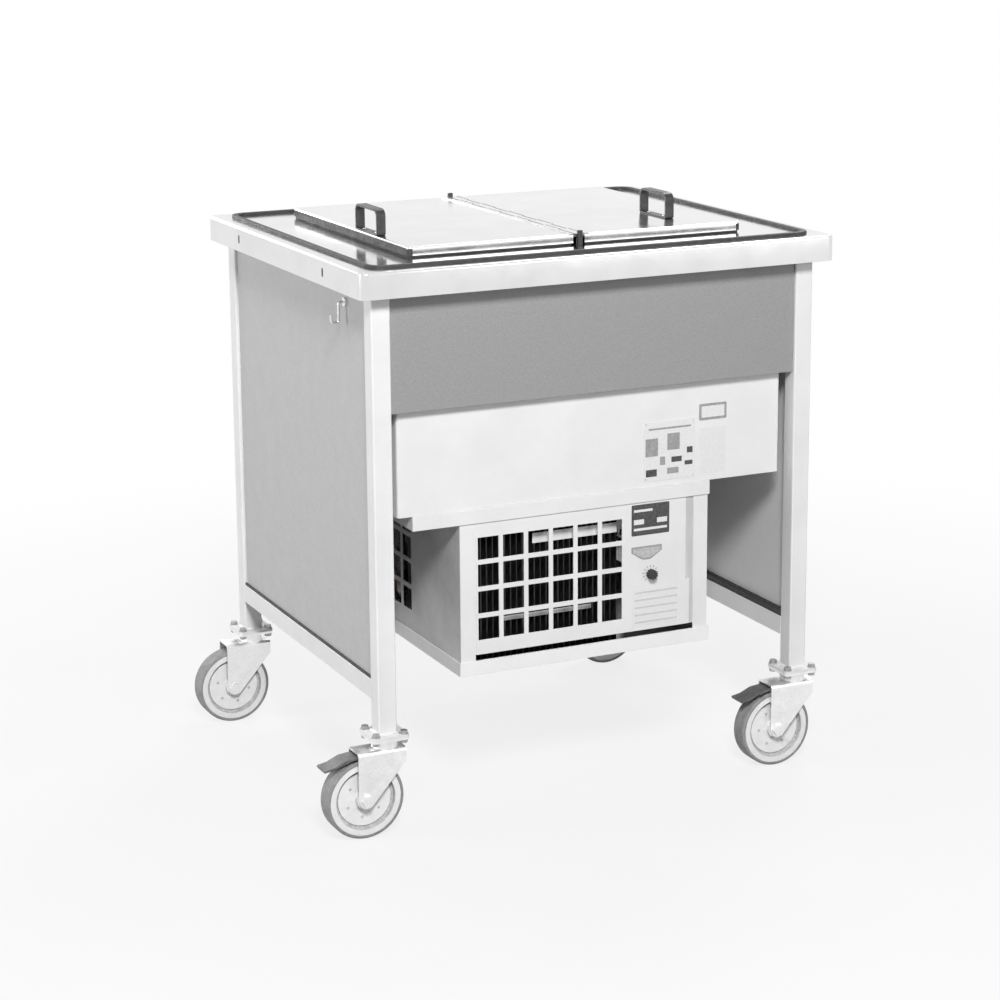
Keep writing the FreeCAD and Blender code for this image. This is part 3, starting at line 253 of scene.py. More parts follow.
def make_tyre_rubber():
    finish, tree, shader = new_finish("grey_tyre_rubber")
    clean = grey_mix(tree, use_effect(tree, mottle, Scale=90.0), 0.24, 0.32)
    dust = use_effect(tree, floor_dust, Reach=0.1, Amount=0.3)
    tree.links.new(grey_mix(tree, dust, clean, 0.42), shader.inputs["Base Color"])
    tree.links.new(use_effect(tree, mottle, Scale=240.0, Low=0.6, High=0.85), shader.inputs["Roughness"])
    raise_by(tree, shader, use_effect(tree, mottle, Scale=1200.0), 0.3, 0.0006)
    return finish


# Darker grey plastic for the faces of the ring groove and for the moulding marks.
def make_darker_wheel_plastic():
    finish, tree, shader = new_finish("darker_grey_wheel_plastic")
    tree.links.new(
        grey_mix(tree, use_effect(tree, mottle, Scale=160.0), 0.46, 0.64), shader.inputs["Base Color"]
    )
    tree.links.new(use_effect(tree, mottle, Scale=240.0, Low=0.65, High=0.9), shader.inputs["Roughness"])
    raise_by(tree, shader, use_effect(tree, mottle, Scale=1100.0), 0.2, 0.0004)
    return finish


def recoat(piece, finish, chosen):
    """Gives a finish of its own to each face whose corners are all chosen."""
    piece.data.materials.append(finish)
    last = len(piece.data.materials) - 1
    for face in piece.data.polygons:
        if all(chosen(piece.data.vertices[corner].co) for corner in face.vertices):
            face.material_index = last


def add_input(tree, label, kind, value=None):
    """Named input of a geometry node tree; gives the key that a modifier sets it by."""
    socket = tree.interface.new_socket(label, in_out="INPUT", socket_type=kind)
    if value is not None:
        socket.default_value = value
    return socket.identifier


def new_growth(name, **sizes):
    """Geometry node tree that grows pieces on points, with named sizes and a finish."""
    tree = bpy.data.node_groups.new(name, "GeometryNodeTree")
    keys = {"Points": add_input(tree, "Points", "NodeSocketGeometry")}
    for label, value in sizes.items():
        keys[label] = add_input(tree, label, "NodeSocketFloat", value)
    keys["Finish"] = add_input(tree, "Finish", "NodeSocketMaterial")
    tree.interface.new_socket("Pieces", in_out="OUTPUT", socket_type="NodeSocketGeometry")
    return tree, keys, tree.nodes.new("NodeGroupInput"), tree.nodes.new("NodeGroupOutput")


def end_growth(tree, start, end, pieces):
    """Realizes the instances and gives them their finish."""
    real = tree.nodes.new("GeometryNodeRealizeInstances")
    coat = tree.nodes.new("GeometryNodeSetMaterial")
    tree.links.new(pieces, real.inputs["Geometry"])
    tree.links.new(real.outputs["Geometry"], coat.inputs["Geometry"])
    tree.links.new(start.outputs["Finish"], coat.inputs["Material"])
    tree.links.new(coat.outputs["Geometry"], end.inputs["Pieces"])


def grown(name, body, slot, points, growth, finish, **sizes):
    """Plain mesh that a geometry node tree grows on some points, riding on one body."""
    tree, keys = growth
    mesh = bpy.data.meshes.new(name)
    mesh.from_pydata([tuple(point) for point in points], [], [])
    piece = linked(name, mesh)
    modifier = piece.modifiers.new("growth", "NODES")
    modifier.node_group = tree
    modifier[keys["Finish"]] = finish
    for label, value in sizes.items():
        modifier[keys[label]] = value
    plain_mesh(piece)
    piece.data.materials.clear()
    piece.data.materials.append(finish)
    soften(piece, 0.0)
    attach(piece, body)


def make_head_growth():
    """Low round head with a sloping rim, tilted about X to face any way."""
    tree, keys, start, end = new_growth("round_heads", Radius=mark_radius, Height=mark_height, Tilt=facing_up)
    head = tree.nodes.new("GeometryNodeMeshCone")
    head.inputs["Vertices"].default_value = head_sides
    crown = tree.nodes.new("ShaderNodeMath")
    crown.operation = "MULTIPLY"
    crown.inputs[1].default_value = head_crown
    tree.links.new(start.outputs["Radius"], crown.inputs[0])
    tree.links.new(crown.outputs["Value"], head.inputs["Radius Top"])
    tree.links.new(start.outputs["Radius"], head.inputs["Radius Bottom"])
    tree.links.new(start.outputs["Height"], head.inputs["Depth"])
    turn = tree.nodes.new("ShaderNodeCombineXYZ")
    tree.links.new(start.outputs["Tilt"], turn.inputs["X"])
    stand = tree.nodes.new("GeometryNodeInstanceOnPoints")
    tree.links.new(start.outputs["Points"], stand.inputs["Points"])
    tree.links.new(head.outputs["Mesh"], stand.inputs["Instance"])
    tree.links.new(turn.outputs["Vector"], stand.inputs["Rotation"])
    end_growth(tree, start, end, stand.outputs["Instances"])
    return tree, keys


def groove_round(axle):
    """Test for the places in the ring groove of the wheel on one axle."""

    def in_groove(place):
        out = math.hypot(place.x - axle.x, place.z - axle.z)
        return groove_inner - groove_margin < out < groove_outer + groove_margin

    return in_groove


wheel_plastic = make_wheel_plastic()
wheel_darker_plastic = make_darker_wheel_plastic()
tyre_rubber = make_tyre_rubber()
head_growth = make_head_growth()
for corner in corners:
    node = f"castor_wheel_{corner}"
    low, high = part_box(node)
    axle = (low + high) / 2
    recoat(dressed(node, wheel_plastic, wheel_edge), wheel_darker_plastic, groove_round(axle))
    turns = [math.radians(mark_turn[corner]) + math.tau * mark / mark_count for mark in range(mark_count)]
    circle = [axle + mark_circle * Vector((math.cos(turn), 0, math.sin(turn))) for turn in turns]
    for face, side, tilt in (("front", -1, facing_front), ("back", 1, facing_back)):
        grown(
            f"wheel_marks_{corner}_{face}", body_of_node[node], slot_of_node[node],
            [point + Vector((0, side * disc_half, 0)) for point in circle], head_growth, wheel_darker_plastic,
            Radius=mark_radius, Height=mark_height, Tilt=tilt,
        )
    dressed(f"castor_tyre_{corner}", tyre_rubber)

# Brake pedals of the two front castors: bent plates of dark grey moulded plastic.
# Each turns on a pin through its fork.
pedal_edge = 0.0005


def make_plastic(name, dark, light):
    finish, tree, shader = new_finish(name)
    tree.links.new(
        grey_mix(tree, use_effect(tree, mottle, Scale=120.0), dark, light), shader.inputs["Base Color"]
    )
    tree.links.new(use_effect(tree, mottle, Scale=200.0, Low=0.3, High=0.48), shader.inputs["Roughness"])
    raise_by(tree, shader, use_effect(tree, mottle, Scale=2200.0), 0.15, 0.0003)
    return finish


pedal_plastic = make_plastic("dark_grey_pedal_plastic", 0.09, 0.15)
for corner in corners[:2]:
    dressed(f"castor_brake_{corner}", pedal_plastic, pedal_edge)

# Frame: legs of square steel tube on foot plates, channels below and rails under the worktop.
# It is welded together and stove enamelled in white, a little dusty near the floor.
tube_edge = 0.0005
rail_edge = 0.0006


def make_enamel(name, dark, light):
    finish, tree, shader = new_finish(name)
    clean = grey_mix(tree, use_effect(tree, mottle, Scale=11.0), dark, light)
    dust = use_effect(tree, floor_dust, Reach=0.3, Amount=0.12)
    tree.links.new(grey_mix(tree, dust, clean, 0.5), shader.inputs["Base Color"])
    tree.links.new(use_effect(tree, mottle, Scale=35.0, Low=0.3, High=0.44), shader.inputs["Roughness"])
    raise_by(tree, shader, use_effect(tree, mottle, Scale=700.0), 0.07, 0.0006)
    return finish


enamel = make_enamel("white_stove_enamel", 0.775, 0.825)
for corner in corners:
    dressed(f"leg_{corner}", enamel, tube_edge)
for rail in ("lower_rail_left", "lower_rail_right", "lower_rail_back", "top_frame"):
    dressed(rail, enamel, rail_edge)

# Weld beads: small overlapping drops round the foot of each leg, under the enamel.
# They follow the square outline of the tube where it stands on its foot plate.
drop_radius = 0.0022
drop_pitch = 0.003
drop_smoothness = 2
foot_plate = 0.004
tube_half = 0.015


def make_weld_growth():
    """A round drop on each point."""
    tree, keys, start, end = new_growth("weld_drops", Radius=drop_radius)
    drop = tree.nodes.new("GeometryNodeMeshIcoSphere")
    drop.inputs["Subdivisions"].default_value = drop_smoothness
    tree.links.new(start.outputs["Radius"], drop.inputs["Radius"])
    stand = tree.nodes.new("GeometryNodeInstanceOnPoints")
    tree.links.new(start.outputs["Points"], stand.inputs["Points"])
    tree.links.new(drop.outputs["Mesh"], stand.inputs["Instance"])
    end_growth(tree, start, end, stand.outputs["Instances"])
    return tree, keys


def square_walk(centre, half, pitch):
    """Points at an even pitch along a level square."""
    count = round(2 * half / pitch)
    steps = [-half + 2 * half * step / count for step in range(count)]
    sides = [(s, -half) for s in steps] + [(half, s) for s in steps]
    sides += [(-s, half) for s in steps] + [(-half, -s) for s in steps]
    return [centre + Vector((x, y, 0)) for x, y in sides]


weld_points = []
for corner in corners:
    low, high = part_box(f"leg_{corner}")
    foot = Vector(((low.x + high.x) / 2, (low.y + high.y) / 2, low.z + foot_plate))
    weld_points += square_walk(foot, tube_half, drop_pitch)
grown("weld_beads", "counter", "white_enamel", weld_points, make_weld_growth(), enamel, Radius=drop_radius)

# Castor bolts: hexagon heads on washers above each foot plate, nuts on washers below.
# Plain steel that has gone dull; each head stopped at its own angle.
bolt_spacing = 0.045
bolt_radius = 0.0060
bolt_height = 0.0044
washer_radius = 0.0068
washer_height = 0.0012
washer_sides = 24
bolt_sides = 6
facing_down = math.pi
castor_sheet = 0.004
bolt_seed = 0


def make_bolt_growth():
    """Hexagon head on a washer, tilted about X to face any way."""
    tree, keys, start, end = new_growth(
        "hexagon_bolts", Radius=bolt_radius, Height=bolt_height,
        Washer=washer_radius, Sheet=washer_height, Tilt=facing_up,
    )
    both = tree.nodes.new("GeometryNodeJoinGeometry")
    washer = (washer_sides, "Washer", "Sheet", None)
    hexagon = (bolt_sides, "Radius", "Height", "Sheet")
    for sides, radius, height, base in (washer, hexagon):
        drum = tree.nodes.new("GeometryNodeMeshCylinder")
        drum.inputs["Vertices"].default_value = sides
        tree.links.new(start.outputs[radius], drum.inputs["Radius"])
        tree.links.new(start.outputs[height], drum.inputs["Depth"])
        half = tree.nodes.new("ShaderNodeMath")
        half.operation = "MULTIPLY_ADD"
        half.inputs[1].default_value = 0.5
        half.inputs[2].default_value = 0.0
        tree.links.new(start.outputs[height], half.inputs[0])
        if base:
            tree.links.new(start.outputs[base], half.inputs[2])
        lift = tree.nodes.new("ShaderNodeCombineXYZ")
        tree.links.new(half.outputs["Value"], lift.inputs["Z"])
        moved = tree.nodes.new("GeometryNodeTransform")
        tree.links.new(drum.outputs["Mesh"], moved.inputs["Geometry"])
        tree.links.new(lift.outputs["Vector"], moved.inputs["Translation"])
        tree.links.new(moved.outputs["Geometry"], both.inputs["Geometry"])
    spin = tree.nodes.new("FunctionNodeRandomValue")
    spin.data_type = "FLOAT"
    spin.inputs[3].default_value = math.tau
    spin.inputs["Seed"].default_value = bolt_seed
    turn = tree.nodes.new("ShaderNodeCombineXYZ")
    tree.links.new(start.outputs["Tilt"], turn.inputs["X"])
    tree.links.new(spin.outputs[1], turn.inputs["Z"])
    stand = tree.nodes.new("GeometryNodeInstanceOnPoints")
    tree.links.new(start.outputs["Points"], stand.inputs["Points"])
    tree.links.new(both.outputs["Geometry"], stand.inputs["Instance"])
    tree.links.new(turn.outputs["Vector"], stand.inputs["Rotation"])
    end_growth(tree, start, end, stand.outputs["Instances"])
    return tree, keys


def make_dull_steel(name, dark, light):
    finish, tree, shader = new_finish(name)
    shader.inputs["Metallic"].default_value = 0.8
    tree.links.new(
        grey_mix(tree, use_effect(tree, mottle, Scale=300.0), dark, light), shader.inputs["Base Color"]
    )
    tree.links.new(use_effect(tree, mottle, Scale=500.0, Low=0.4, High=0.65), shader.inputs["Roughness"])
    raise_by(tree, shader, use_effect(tree, mottle, Scale=1500.0), 0.15, 0.0003)
    return finish


bolt_growth = make_bolt_growth()
bolt_steel = make_dull_steel("dulled_bolt_steel", 0.32, 0.48)
bolt_sizes = {"Radius": bolt_radius, "Height": bolt_height, "Washer": washer_radius, "Sheet": washer_height}
head_points = []
nut_points = []
for corner in corners:
    foot_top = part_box(f"leg_{corner}")[0].z + foot_plate
    low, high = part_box(f"castor_plate_{corner}")
    middle = (low + high) / 2
    for side_x in (-0.5, 0.5):
        for side_y in (-0.5, 0.5):
            place = middle + Vector((side_x, side_y, 0)) * bolt_spacing
            head_points.append(Vector((place.x, place.y, foot_top)))
            nut_points.append(Vector((place.x, place.y, high.z - castor_sheet)))
grown("bolt_heads", "counter", "zinc", head_points, bolt_growth, bolt_steel, Tilt=facing_up, **bolt_sizes)
grown("bolt_nuts", "counter", "zinc", nut_points, bolt_growth, bolt_steel, Tilt=facing_down, **bolt_sizes)

# Tank: a folded white sheet box, screwed under the worktop, that holds the cold well.
# Inside it are rigid foam, an aluminium cold jacket and the drawn liner of satin steel.
casing_edge = 0.0006


def make_brushing():
    """Fine lines drawn out along X, as a belt grinder leaves them."""
    group, start, end = new_effect("brushing", "Height", Along=6.0, Across=900.0)
    place = group.nodes.new("ShaderNodeTexCoord")
    stretch = group.nodes.new("ShaderNodeCombineXYZ")
    scaled = group.nodes.new("ShaderNodeVectorMath")
    scaled.operation = "MULTIPLY"
    noise = put(group, "ShaderNodeTexNoise", Scale=1.0, Detail=3.0)
    group.links.new(start.outputs["Along"], stretch.inputs["X"])
    group.links.new(start.outputs["Across"], stretch.inputs["Y"])
    group.links.new(start.outputs["Across"], stretch.inputs["Z"])
    group.links.new(place.outputs["Object"], scaled.inputs[0])
    group.links.new(stretch.outputs["Vector"], scaled.inputs[1])
    group.links.new(scaled.outputs["Vector"], noise.inputs["Vector"])
    group.links.new(noise.outputs["Fac"], end.inputs["Height"])
    return group


def make_foam():
    finish, tree, shader = new_finish("rigid_foam")
    cells = put(tree, "ShaderNodeTexVoronoi", Scale=700.0)
    place = tree.nodes.new("ShaderNodeTexCoord")
    tree.links.new(place.outputs["Object"], cells.inputs["Vector"])
    tree.links.new(grey_mix(tree, cells.outputs["Distance"], 0.60, 0.72), shader.inputs["Base Color"])
    tree.links.new(use_effect(tree, mottle, Scale=90.0, Low=0.8, High=0.95), shader.inputs["Roughness"])
    raise_by(tree, shader, cells.outputs["Distance"], 0.4, 0.0008)
    return finish


def make_bare_aluminium():
    finish, tree, shader = new_finish("bare_aluminium")
    shader.inputs["Metallic"].default_value = 1.0
    tree.links.new(
        grey_mix(tree, use_effect(tree, mottle, Scale=60.0), 0.55, 0.68), shader.inputs["Base Color"]
    )
    tree.links.new(use_effect(tree, mottle, Scale=120.0, Low=0.35, High=0.5), shader.inputs["Roughness"])
    raise_by(tree, shader, use_effect(tree, brushing, Along=20.0, Across=1500.0), 0.1, 0.0003)
    return finish


def make_stainless(name, smoothest, roughest):
    finish, tree, shader = new_finish(name)
    shader.inputs["Metallic"].default_value = 1.0
    tree.links.new(
        grey_mix(tree, use_effect(tree, mottle, Scale=9.0), 0.72, 0.78), shader.inputs["Base Color"]
    )
    gloss = use_effect(tree, mottle, Scale=22.0, Low=smoothest, High=roughest)
    tree.links.new(gloss, shader.inputs["Roughness"])
    raise_by(tree, shader, use_effect(tree, brushing, Along=5.0, Across=800.0), 0.03, 0.0003)
    return finish


brushing = make_brushing()
dressed("tank_casing", enamel, casing_edge)
dressed("insulation", make_foam())
bare_aluminium = make_bare_aluminium()
dressed("evaporator", bare_aluminium)
dressed("well_liner", make_stainless("satin_stainless_steel", 0.32, 0.40))

# Panels: decorative laminate on board, light grey at the ends and back, mid grey on the apron.
# The end and back panels stand in the lower channels; the apron is screwed to the front strap.
# The inner faces of the end and back panels have a white backing sheet.
board_edge = 0.0006
face_margin = 1e-5


def make_laminate(name, dark, light):
    finish, tree, shader = new_finish(name)
    print_grain = grey_mix(tree, use_effect(tree, mottle, Scale=420.0), dark, light)
    dust = use_effect(tree, floor_dust, Reach=0.5, Amount=0.10)
    tree.links.new(grey_mix(tree, dust, print_grain, 0.3), shader.inputs["Base Color"])
    tree.links.new(use_effect(tree, mottle, Scale=30.0, Low=0.42, High=0.58), shader.inputs["Roughness"])
    raise_by(tree, shader, use_effect(tree, mottle, Scale=1600.0), 0.1, 0.0004)
    return finish


end_laminate = make_laminate("light_grey_laminate", 0.46, 0.53)
backing_laminate = make_laminate("white_backing_laminate", 0.68, 0.74)
for panel, axis, inner in (("panel_left", 0, 1), ("panel_right", 0, 0), ("panel_back", 1, 0)):
    inner_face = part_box(panel)[inner][axis]
    recoat(
        dressed(panel, end_laminate, board_edge), backing_laminate,
        lambda place: abs(place[axis] - inner_face) < face_margin,
    )
dressed("apron_front", make_laminate("mid_grey_laminate", 0.27, 0.33), board_edge)

# Bedding strips: black rubber profiles that hold the foot of each panel in its channel.
# Their black is also painted shade for the shadow gap at each panel's foot: a thin dark line outside and a
# thicker one inside the counter.
channel_wall = 0.002
outer_lip = 0.0035
inner_lip = 0.010
strip_edge = 0.0008


def make_black_rubber():
    finish, tree, shader = new_finish("black_rubber")
    tree.links.new(
        grey_mix(tree, use_effect(tree, mottle, Scale=80.0), 0.012, 0.026), shader.inputs["Base Color"]
    )
    tree.links.new(use_effect(tree, mottle, Scale=150.0, Low=0.45, High=0.65), shader.inputs["Roughness"])
    raise_by(tree, shader, use_effect(tree, mottle, Scale=1500.0), 0.2, 0.0003)
    return finish


def add_block(work, low, high):
    """Adds an upright block between two corners to a mesh in work."""
    made = bmesh.ops.create_cube(work, size=1.0)["verts"]
    bmesh.ops.scale(work, verts=made, vec=high - low)
    bmesh.ops.translate(work, verts=made, vec=(low + high) / 2)


def bedding_and_shade_strip(side, across, outward):
    """Strip on both faces of one panel; across is the axis through the panel."""
    rail_low, rail_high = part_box(f"lower_rail_{side}")
    panel_low, panel_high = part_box(f"panel_{side}")
    work = bmesh.new()
    for lip, out in ((outer_lip, outward), (inner_lip, -outward)):
        low = rail_low + Vector((0, 0, channel_wall))
        high = Vector((rail_high.x, rail_high.y, rail_high.z + lip))
        if out > 0:
            low[across] = panel_high[across]
            high[across] = rail_high[across] - channel_wall
        else:
            low[across] = rail_low[across] + channel_wall
            high[across] = panel_low[across]
        add_block(work, low, high)
    mesh = bpy.data.meshes.new(f"bedding_and_shade_strip_{side}")
    work.to_mesh(mesh)
    work.free()
    mesh.materials.append(black_rubber)
    piece = linked(f"bedding_and_shade_strip_{side}", mesh)
    soften(piece, strip_edge)
    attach(piece, "counter")


black_rubber = make_black_rubber()
# Painted shade: these black strips give the dark shadow gap at the foot of each panel.
bedding_and_shade_strip("left", 0, -1)
bedding_and_shade_strip("right", 0, 1)
bedding_and_shade_strip("back", 1, 1)

# Hook: a bent stainless wire on a round base, for a scoop or a cloth.
# It is screwed to the left end panel near the front corner.
wire_edge = 0.0003
polished_steel = make_stainless("polished_stainless_steel", 0.13, 0.17)
dressed("panel_hook", polished_steel, wire_edge)

# Worktop: one pressing of polished stainless steel with a deep folded edge, fixed on the frame.
# A black rubber bead is bonded on it all round, to hold spilt water back.
dressed("worktop", polished_steel)
dressed("rim_seal", black_rubber)

# Lids: two polished steel pans over black moulded trays, each on a long hinge at the centre bar.
# The bar stands across the well and has a black cap at each end.
# The rolled knuckles of the hinges were never polished and have gone dull; they and the pins are painted
# dark, as painted shade in the grooves along the hinges.
knuckle_radius = 0.0026
knuckle_margin = 0.0002
bar_edge = 0.0003
cap_edge = 0.0006
gasket_edge = 0.0002
handle_edge = 0.0007
pins_low, pins_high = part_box("hinge_pins")
pin_radius = (pins_high.z - pins_low.z) / 2
pin_x = pins_high.x - pin_radius
pin_z = pins_high.z - pin_radius


def on_knuckle(place):
    return math.hypot(abs(place.x) - pin_x, place.z - pin_z) < knuckle_radius + knuckle_margin


black_plastic = make_plastic("black_moulded_plastic", 0.014, 0.03)
# Painted shade: this dark steel on the knuckles and pins gives the dark lines along the hinges.
hinge_shade_steel = make_dull_steel("painted_shade_hinge_metal", 0.10, 0.22)
recoat(dressed("centre_bar", polished_steel, bar_edge), hinge_shade_steel, on_knuckle)
dressed("bar_end_caps", black_plastic, cap_edge)
dressed("hinge_pins", hinge_shade_steel)
for side in ("left", "right"):
    recoat(dressed(f"lid_{side}", polished_steel), hinge_shade_steel, on_knuckle)
    dressed(f"lid_gasket_{side}", black_rubber, gasket_edge)
    dressed(f"lid_handle_{side}", black_plastic, handle_edge)

# Handle screws: two small round heads of stainless steel in the base strip of each handle.
# They hold the handle down on its lid.
handle_screw_radius = 0.0028
handle_screw_height = 0.0014
handle_screw_pitch = 0.05
handle_base = 0.0025
for side in ("left", "right"):
    low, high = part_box(f"lid_handle_{side}")
    middle = (low + high) / 2
    points = [
        Vector((middle.x, middle.y + end * handle_screw_pitch, low.z + handle_base)) for end in (-0.5, 0.5)
    ]
    grown(
        f"handle_screws_{side}", f"{side}_lid", "stainless", points, head_growth, polished_steel,
        Radius=handle_screw_radius, Height=handle_screw_height, Tilt=facing_up,
    )

# Condensing unit casing: white enamelled sheets on a base tray, hung from a plate under the tank.
# The front and both sides have grilles of square openings for the air.
# The side walls got one thin, cloudy coat; the floor of the upright grip recess in the front gets a greyer
# enamel, as painted shade.
sheet_edge = 0.0004
grip_depth = 0.0012
front_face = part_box("unit_front")[0].y
grip_floor = front_face + grip_depth
thin_enamel = make_enamel("thin_cloudy_enamel", 0.52, 0.70)
dressed("unit_hanger", enamel, sheet_edge)
# Painted shade: the faces on the floor of the grip recess get a greyer enamel than the rest of the front.
recoat(
    dressed("unit_front", enamel, sheet_edge), make_enamel("grip_recess_painted_shade", 0.54, 0.61),
    lambda place: abs(place.y - grip_floor) < face_margin,
)
dressed("unit_shell", thin_enamel, sheet_edge)
dressed("unit_tray", make_enamel("bright_white_enamel", 0.86, 0.90), sheet_edge)

# Works of the unit: a black finned condenser with its fan behind, and the compressor on rubber feet.
# Tarnished copper pipes and a drier join them to the cold jacket.
# Two pale sheet straps across the fins tie the condenser; parts of them show through the grille.
strap_sheet = 0.0012
strap_edge = 0.0003
strap_spans = ((-0.150, 0.004, 0.2995, 0.3065), (-0.098, 0.049, 0.4170, 0.4330))


def make_black_paint():
    finish, tree, shader = new_finish("black_machine_paint")
    tree.links.new(
        grey_mix(tree, use_effect(tree, mottle, Scale=40.0), 0.008, 0.022), shader.inputs["Base Color"]
    )
    tree.links.new(use_effect(tree, mottle, Scale=90.0, Low=0.3, High=0.55), shader.inputs["Roughness"])
    raise_by(tree, shader, use_effect(tree, mottle, Scale=600.0), 0.12, 0.0005)
    return finish


def make_copper():
    finish, tree, shader = new_finish("tarnished_copper")
    shader.inputs["Metallic"].default_value = 1.0
    shade = tree.nodes.new("ShaderNodeMix")
    shade.data_type = "RGBA"
    shade.inputs["A"].default_value = (0.15, 0.12, 0.105, 1)
    shade.inputs["B"].default_value = (0.30, 0.25, 0.225, 1)
    tree.links.new(use_effect(tree, mottle, Scale=70.0), shade.inputs["Factor"])
    tree.links.new(shade.outputs["Result"], shader.inputs["Base Color"])
    tree.links.new(use_effect(tree, mottle, Scale=110.0, Low=0.25, High=0.45), shader.inputs["Roughness"])
    raise_by(tree, shader, use_effect(tree, mottle, Scale=900.0), 0.08, 0.0003)
    return finish


black_paint = make_black_paint()
copper = make_copper()
for node in ("condenser", "fan_shroud", "fan_motor", "compressor"):
    dressed(node, black_paint)
fins_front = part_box("condenser")[0].y
straps = bmesh.new()
for left, right, foot, head in strap_spans:
    add_block(straps, Vector((left, fins_front - strap_sheet, foot)), Vector((right, fins_front, head)))
strap_mesh = bpy.data.meshes.new("condenser_straps")
straps.to_mesh(strap_mesh)
straps.free()
strap_mesh.materials.append(enamel)
strap_piece = linked("condenser_straps", strap_mesh)
soften(strap_piece, strap_edge)
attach(strap_piece, "counter")
dressed("fan_blade", black_plastic)
dressed("compressor_feet", black_rubber)
dressed("refrigerant_pipes", copper)
dressed("filter_drier", copper)

# Thermostat: a black switch behind the unit front, with a fluted knob on its shaft.
# A ring of plain ticks on the front shows the setting.
switch_edge = 0.0006
knob_edge = 0.0004
tick_count = 11
tick_sweep = math.radians(270)
tick_circle = 0.0125
tick_length = 0.003
tick_width = 0.0007
tick_sheet = 0.0002


def make_tick_growth():
    """Radial ticks on an arc about one point, in a plane that faces the front."""
    tree, keys, start, end = new_growth(
        "dial_ticks", Circle=tick_circle, Length=tick_length, Width=tick_width, Sheet=tick_sheet
    )
    row = tree.nodes.new("GeometryNodeMeshLine")
    row.inputs["Count"].default_value = tick_count
    row.inputs["Offset"].default_value = (0, 0, 0)
    number = tree.nodes.new("GeometryNodeInputIndex")
    angle = tree.nodes.new("ShaderNodeMath")
    angle.operation = "MULTIPLY_ADD"
    angle.inputs[1].default_value = tick_sweep / (tick_count - 1)
    angle.inputs[2].default_value = -tick_sweep / 2
    tree.links.new(number.outputs["Index"], angle.inputs[0])
    size = tree.nodes.new("ShaderNodeCombineXYZ")
    tree.links.new(start.outputs["Width"], size.inputs["X"])
    tree.links.new(start.outputs["Sheet"], size.inputs["Y"])
    tree.links.new(start.outputs["Length"], size.inputs["Z"])
    tick = tree.nodes.new("GeometryNodeMeshCube")
    tree.links.new(size.outputs["Vector"], tick.inputs["Size"])
    out = tree.nodes.new("ShaderNodeCombineXYZ")
    tree.links.new(start.outputs["Circle"], out.inputs["Z"])
    moved = tree.nodes.new("GeometryNodeTransform")
    tree.links.new(tick.outputs["Mesh"], moved.inputs["Geometry"])
    tree.links.new(out.outputs["Vector"], moved.inputs["Translation"])
    turn = tree.nodes.new("ShaderNodeCombineXYZ")
    tree.links.new(angle.outputs["Value"], turn.inputs["Y"])
    dial = tree.nodes.new("GeometryNodeInstanceOnPoints")
    tree.links.new(row.outputs["Mesh"], dial.inputs["Points"])
    tree.links.new(moved.outputs["Geometry"], dial.inputs["Instance"])
    tree.links.new(turn.outputs["Vector"], dial.inputs["Rotation"])
    whole = tree.nodes.new("GeometryNodeRealizeInstances")
    tree.links.new(dial.outputs["Instances"], whole.inputs["Geometry"])
    stand = tree.nodes.new("GeometryNodeInstanceOnPoints")
    tree.links.new(start.outputs["Points"], stand.inputs["Points"])
    tree.links.new(whole.outputs["Geometry"], stand.inputs["Instance"])
    end_growth(tree, start, end, stand.outputs["Instances"])
    return tree, keys


dressed("thermostat", black_plastic, switch_edge)
dressed("thermostat_knob", black_plastic, knob_edge)
knob_low, knob_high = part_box("thermostat_knob")
knob_middle = (knob_low + knob_high) / 2
dial_point = Vector((knob_middle.x, front_face - tick_sheet / 2, knob_middle.z))
grown(
    "dial_ticks", "counter", "black_plastic", [dial_point], make_tick_growth(), black_plastic,
    Circle=tick_circle, Length=tick_length, Width=tick_width, Sheet=tick_sheet,
)

# Plates on the front of the tank: a pale data plate, riveted on, and a small framed plate beside it.
# The data plate carries plain printed fields.
# A sheet of worn paper is stuck on under the framed plate.
plate_sheet = 0.0006
print_sheet = 0.0002
data_left, data_right, data_foot, data_head = 0.085, 0.177, 0.497, 0.592
framed_left, framed_right, framed_foot, framed_head = 0.184, 0.233, 0.586, 0.612
framed_border = 0.004
paper_left, paper_right, paper_foot, paper_head = 0.186, 0.232, 0.499, 0.573
rivet_radius = 0.0018
rivet_height = 0.0009
rivet_inset = 0.004
plate_corner = 0.003
small_corner = 0.002
field_corner = 0.0008
corner_steps = 6


def plates(name, finish, outlines, face_y, sheet):
    """Thin plates on a front face, from their outlines in X and Z, as one piece."""
    work = bmesh.new()
    for outline in outlines:
        face = work.faces.new([work.verts.new((x, face_y, z)) for x, z in outline])
        raised = bmesh.ops.extrude_face_region(work, geom=[face])["geom"]
        moved = [item for item in raised if isinstance(item, bmesh.types.BMVert)]
        bmesh.ops.translate(work, verts=moved, vec=(0, -sheet, 0))
    bmesh.ops.recalc_face_normals(work, faces=work.faces)
    mesh = bpy.data.meshes.new(name)
    work.to_mesh(mesh)
    work.free()
    mesh.materials.append(finish)
    piece = linked(name, mesh)
    soften(piece, 0.0)
    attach(piece, "counter")


def oblong(left, right, foot, head, corner=field_corner):
    """Outline of an oblong with rounded corners."""
    points = []
    middles = (
        (right - corner, head - corner), (left + corner, head - corner),
        (left + corner, foot + corner), (right - corner, foot + corner),
    )
    for quarter, (x, z) in enumerate(middles):
        for step in range(corner_steps + 1):
            angle = math.pi / 2 * (quarter + step / corner_steps)
            points.append((x + corner * math.cos(angle), z + corner * math.sin(angle)))
    return points


def field(left, right, foot, head):
    """Outline of a printed field, from shares of the data plate's width and height."""
    width = data_right - data_left
    height = data_head - data_foot
    return oblong(
        data_left + left * width, data_left + right * width,
        data_foot + foot * height, data_foot + head * height,
    )


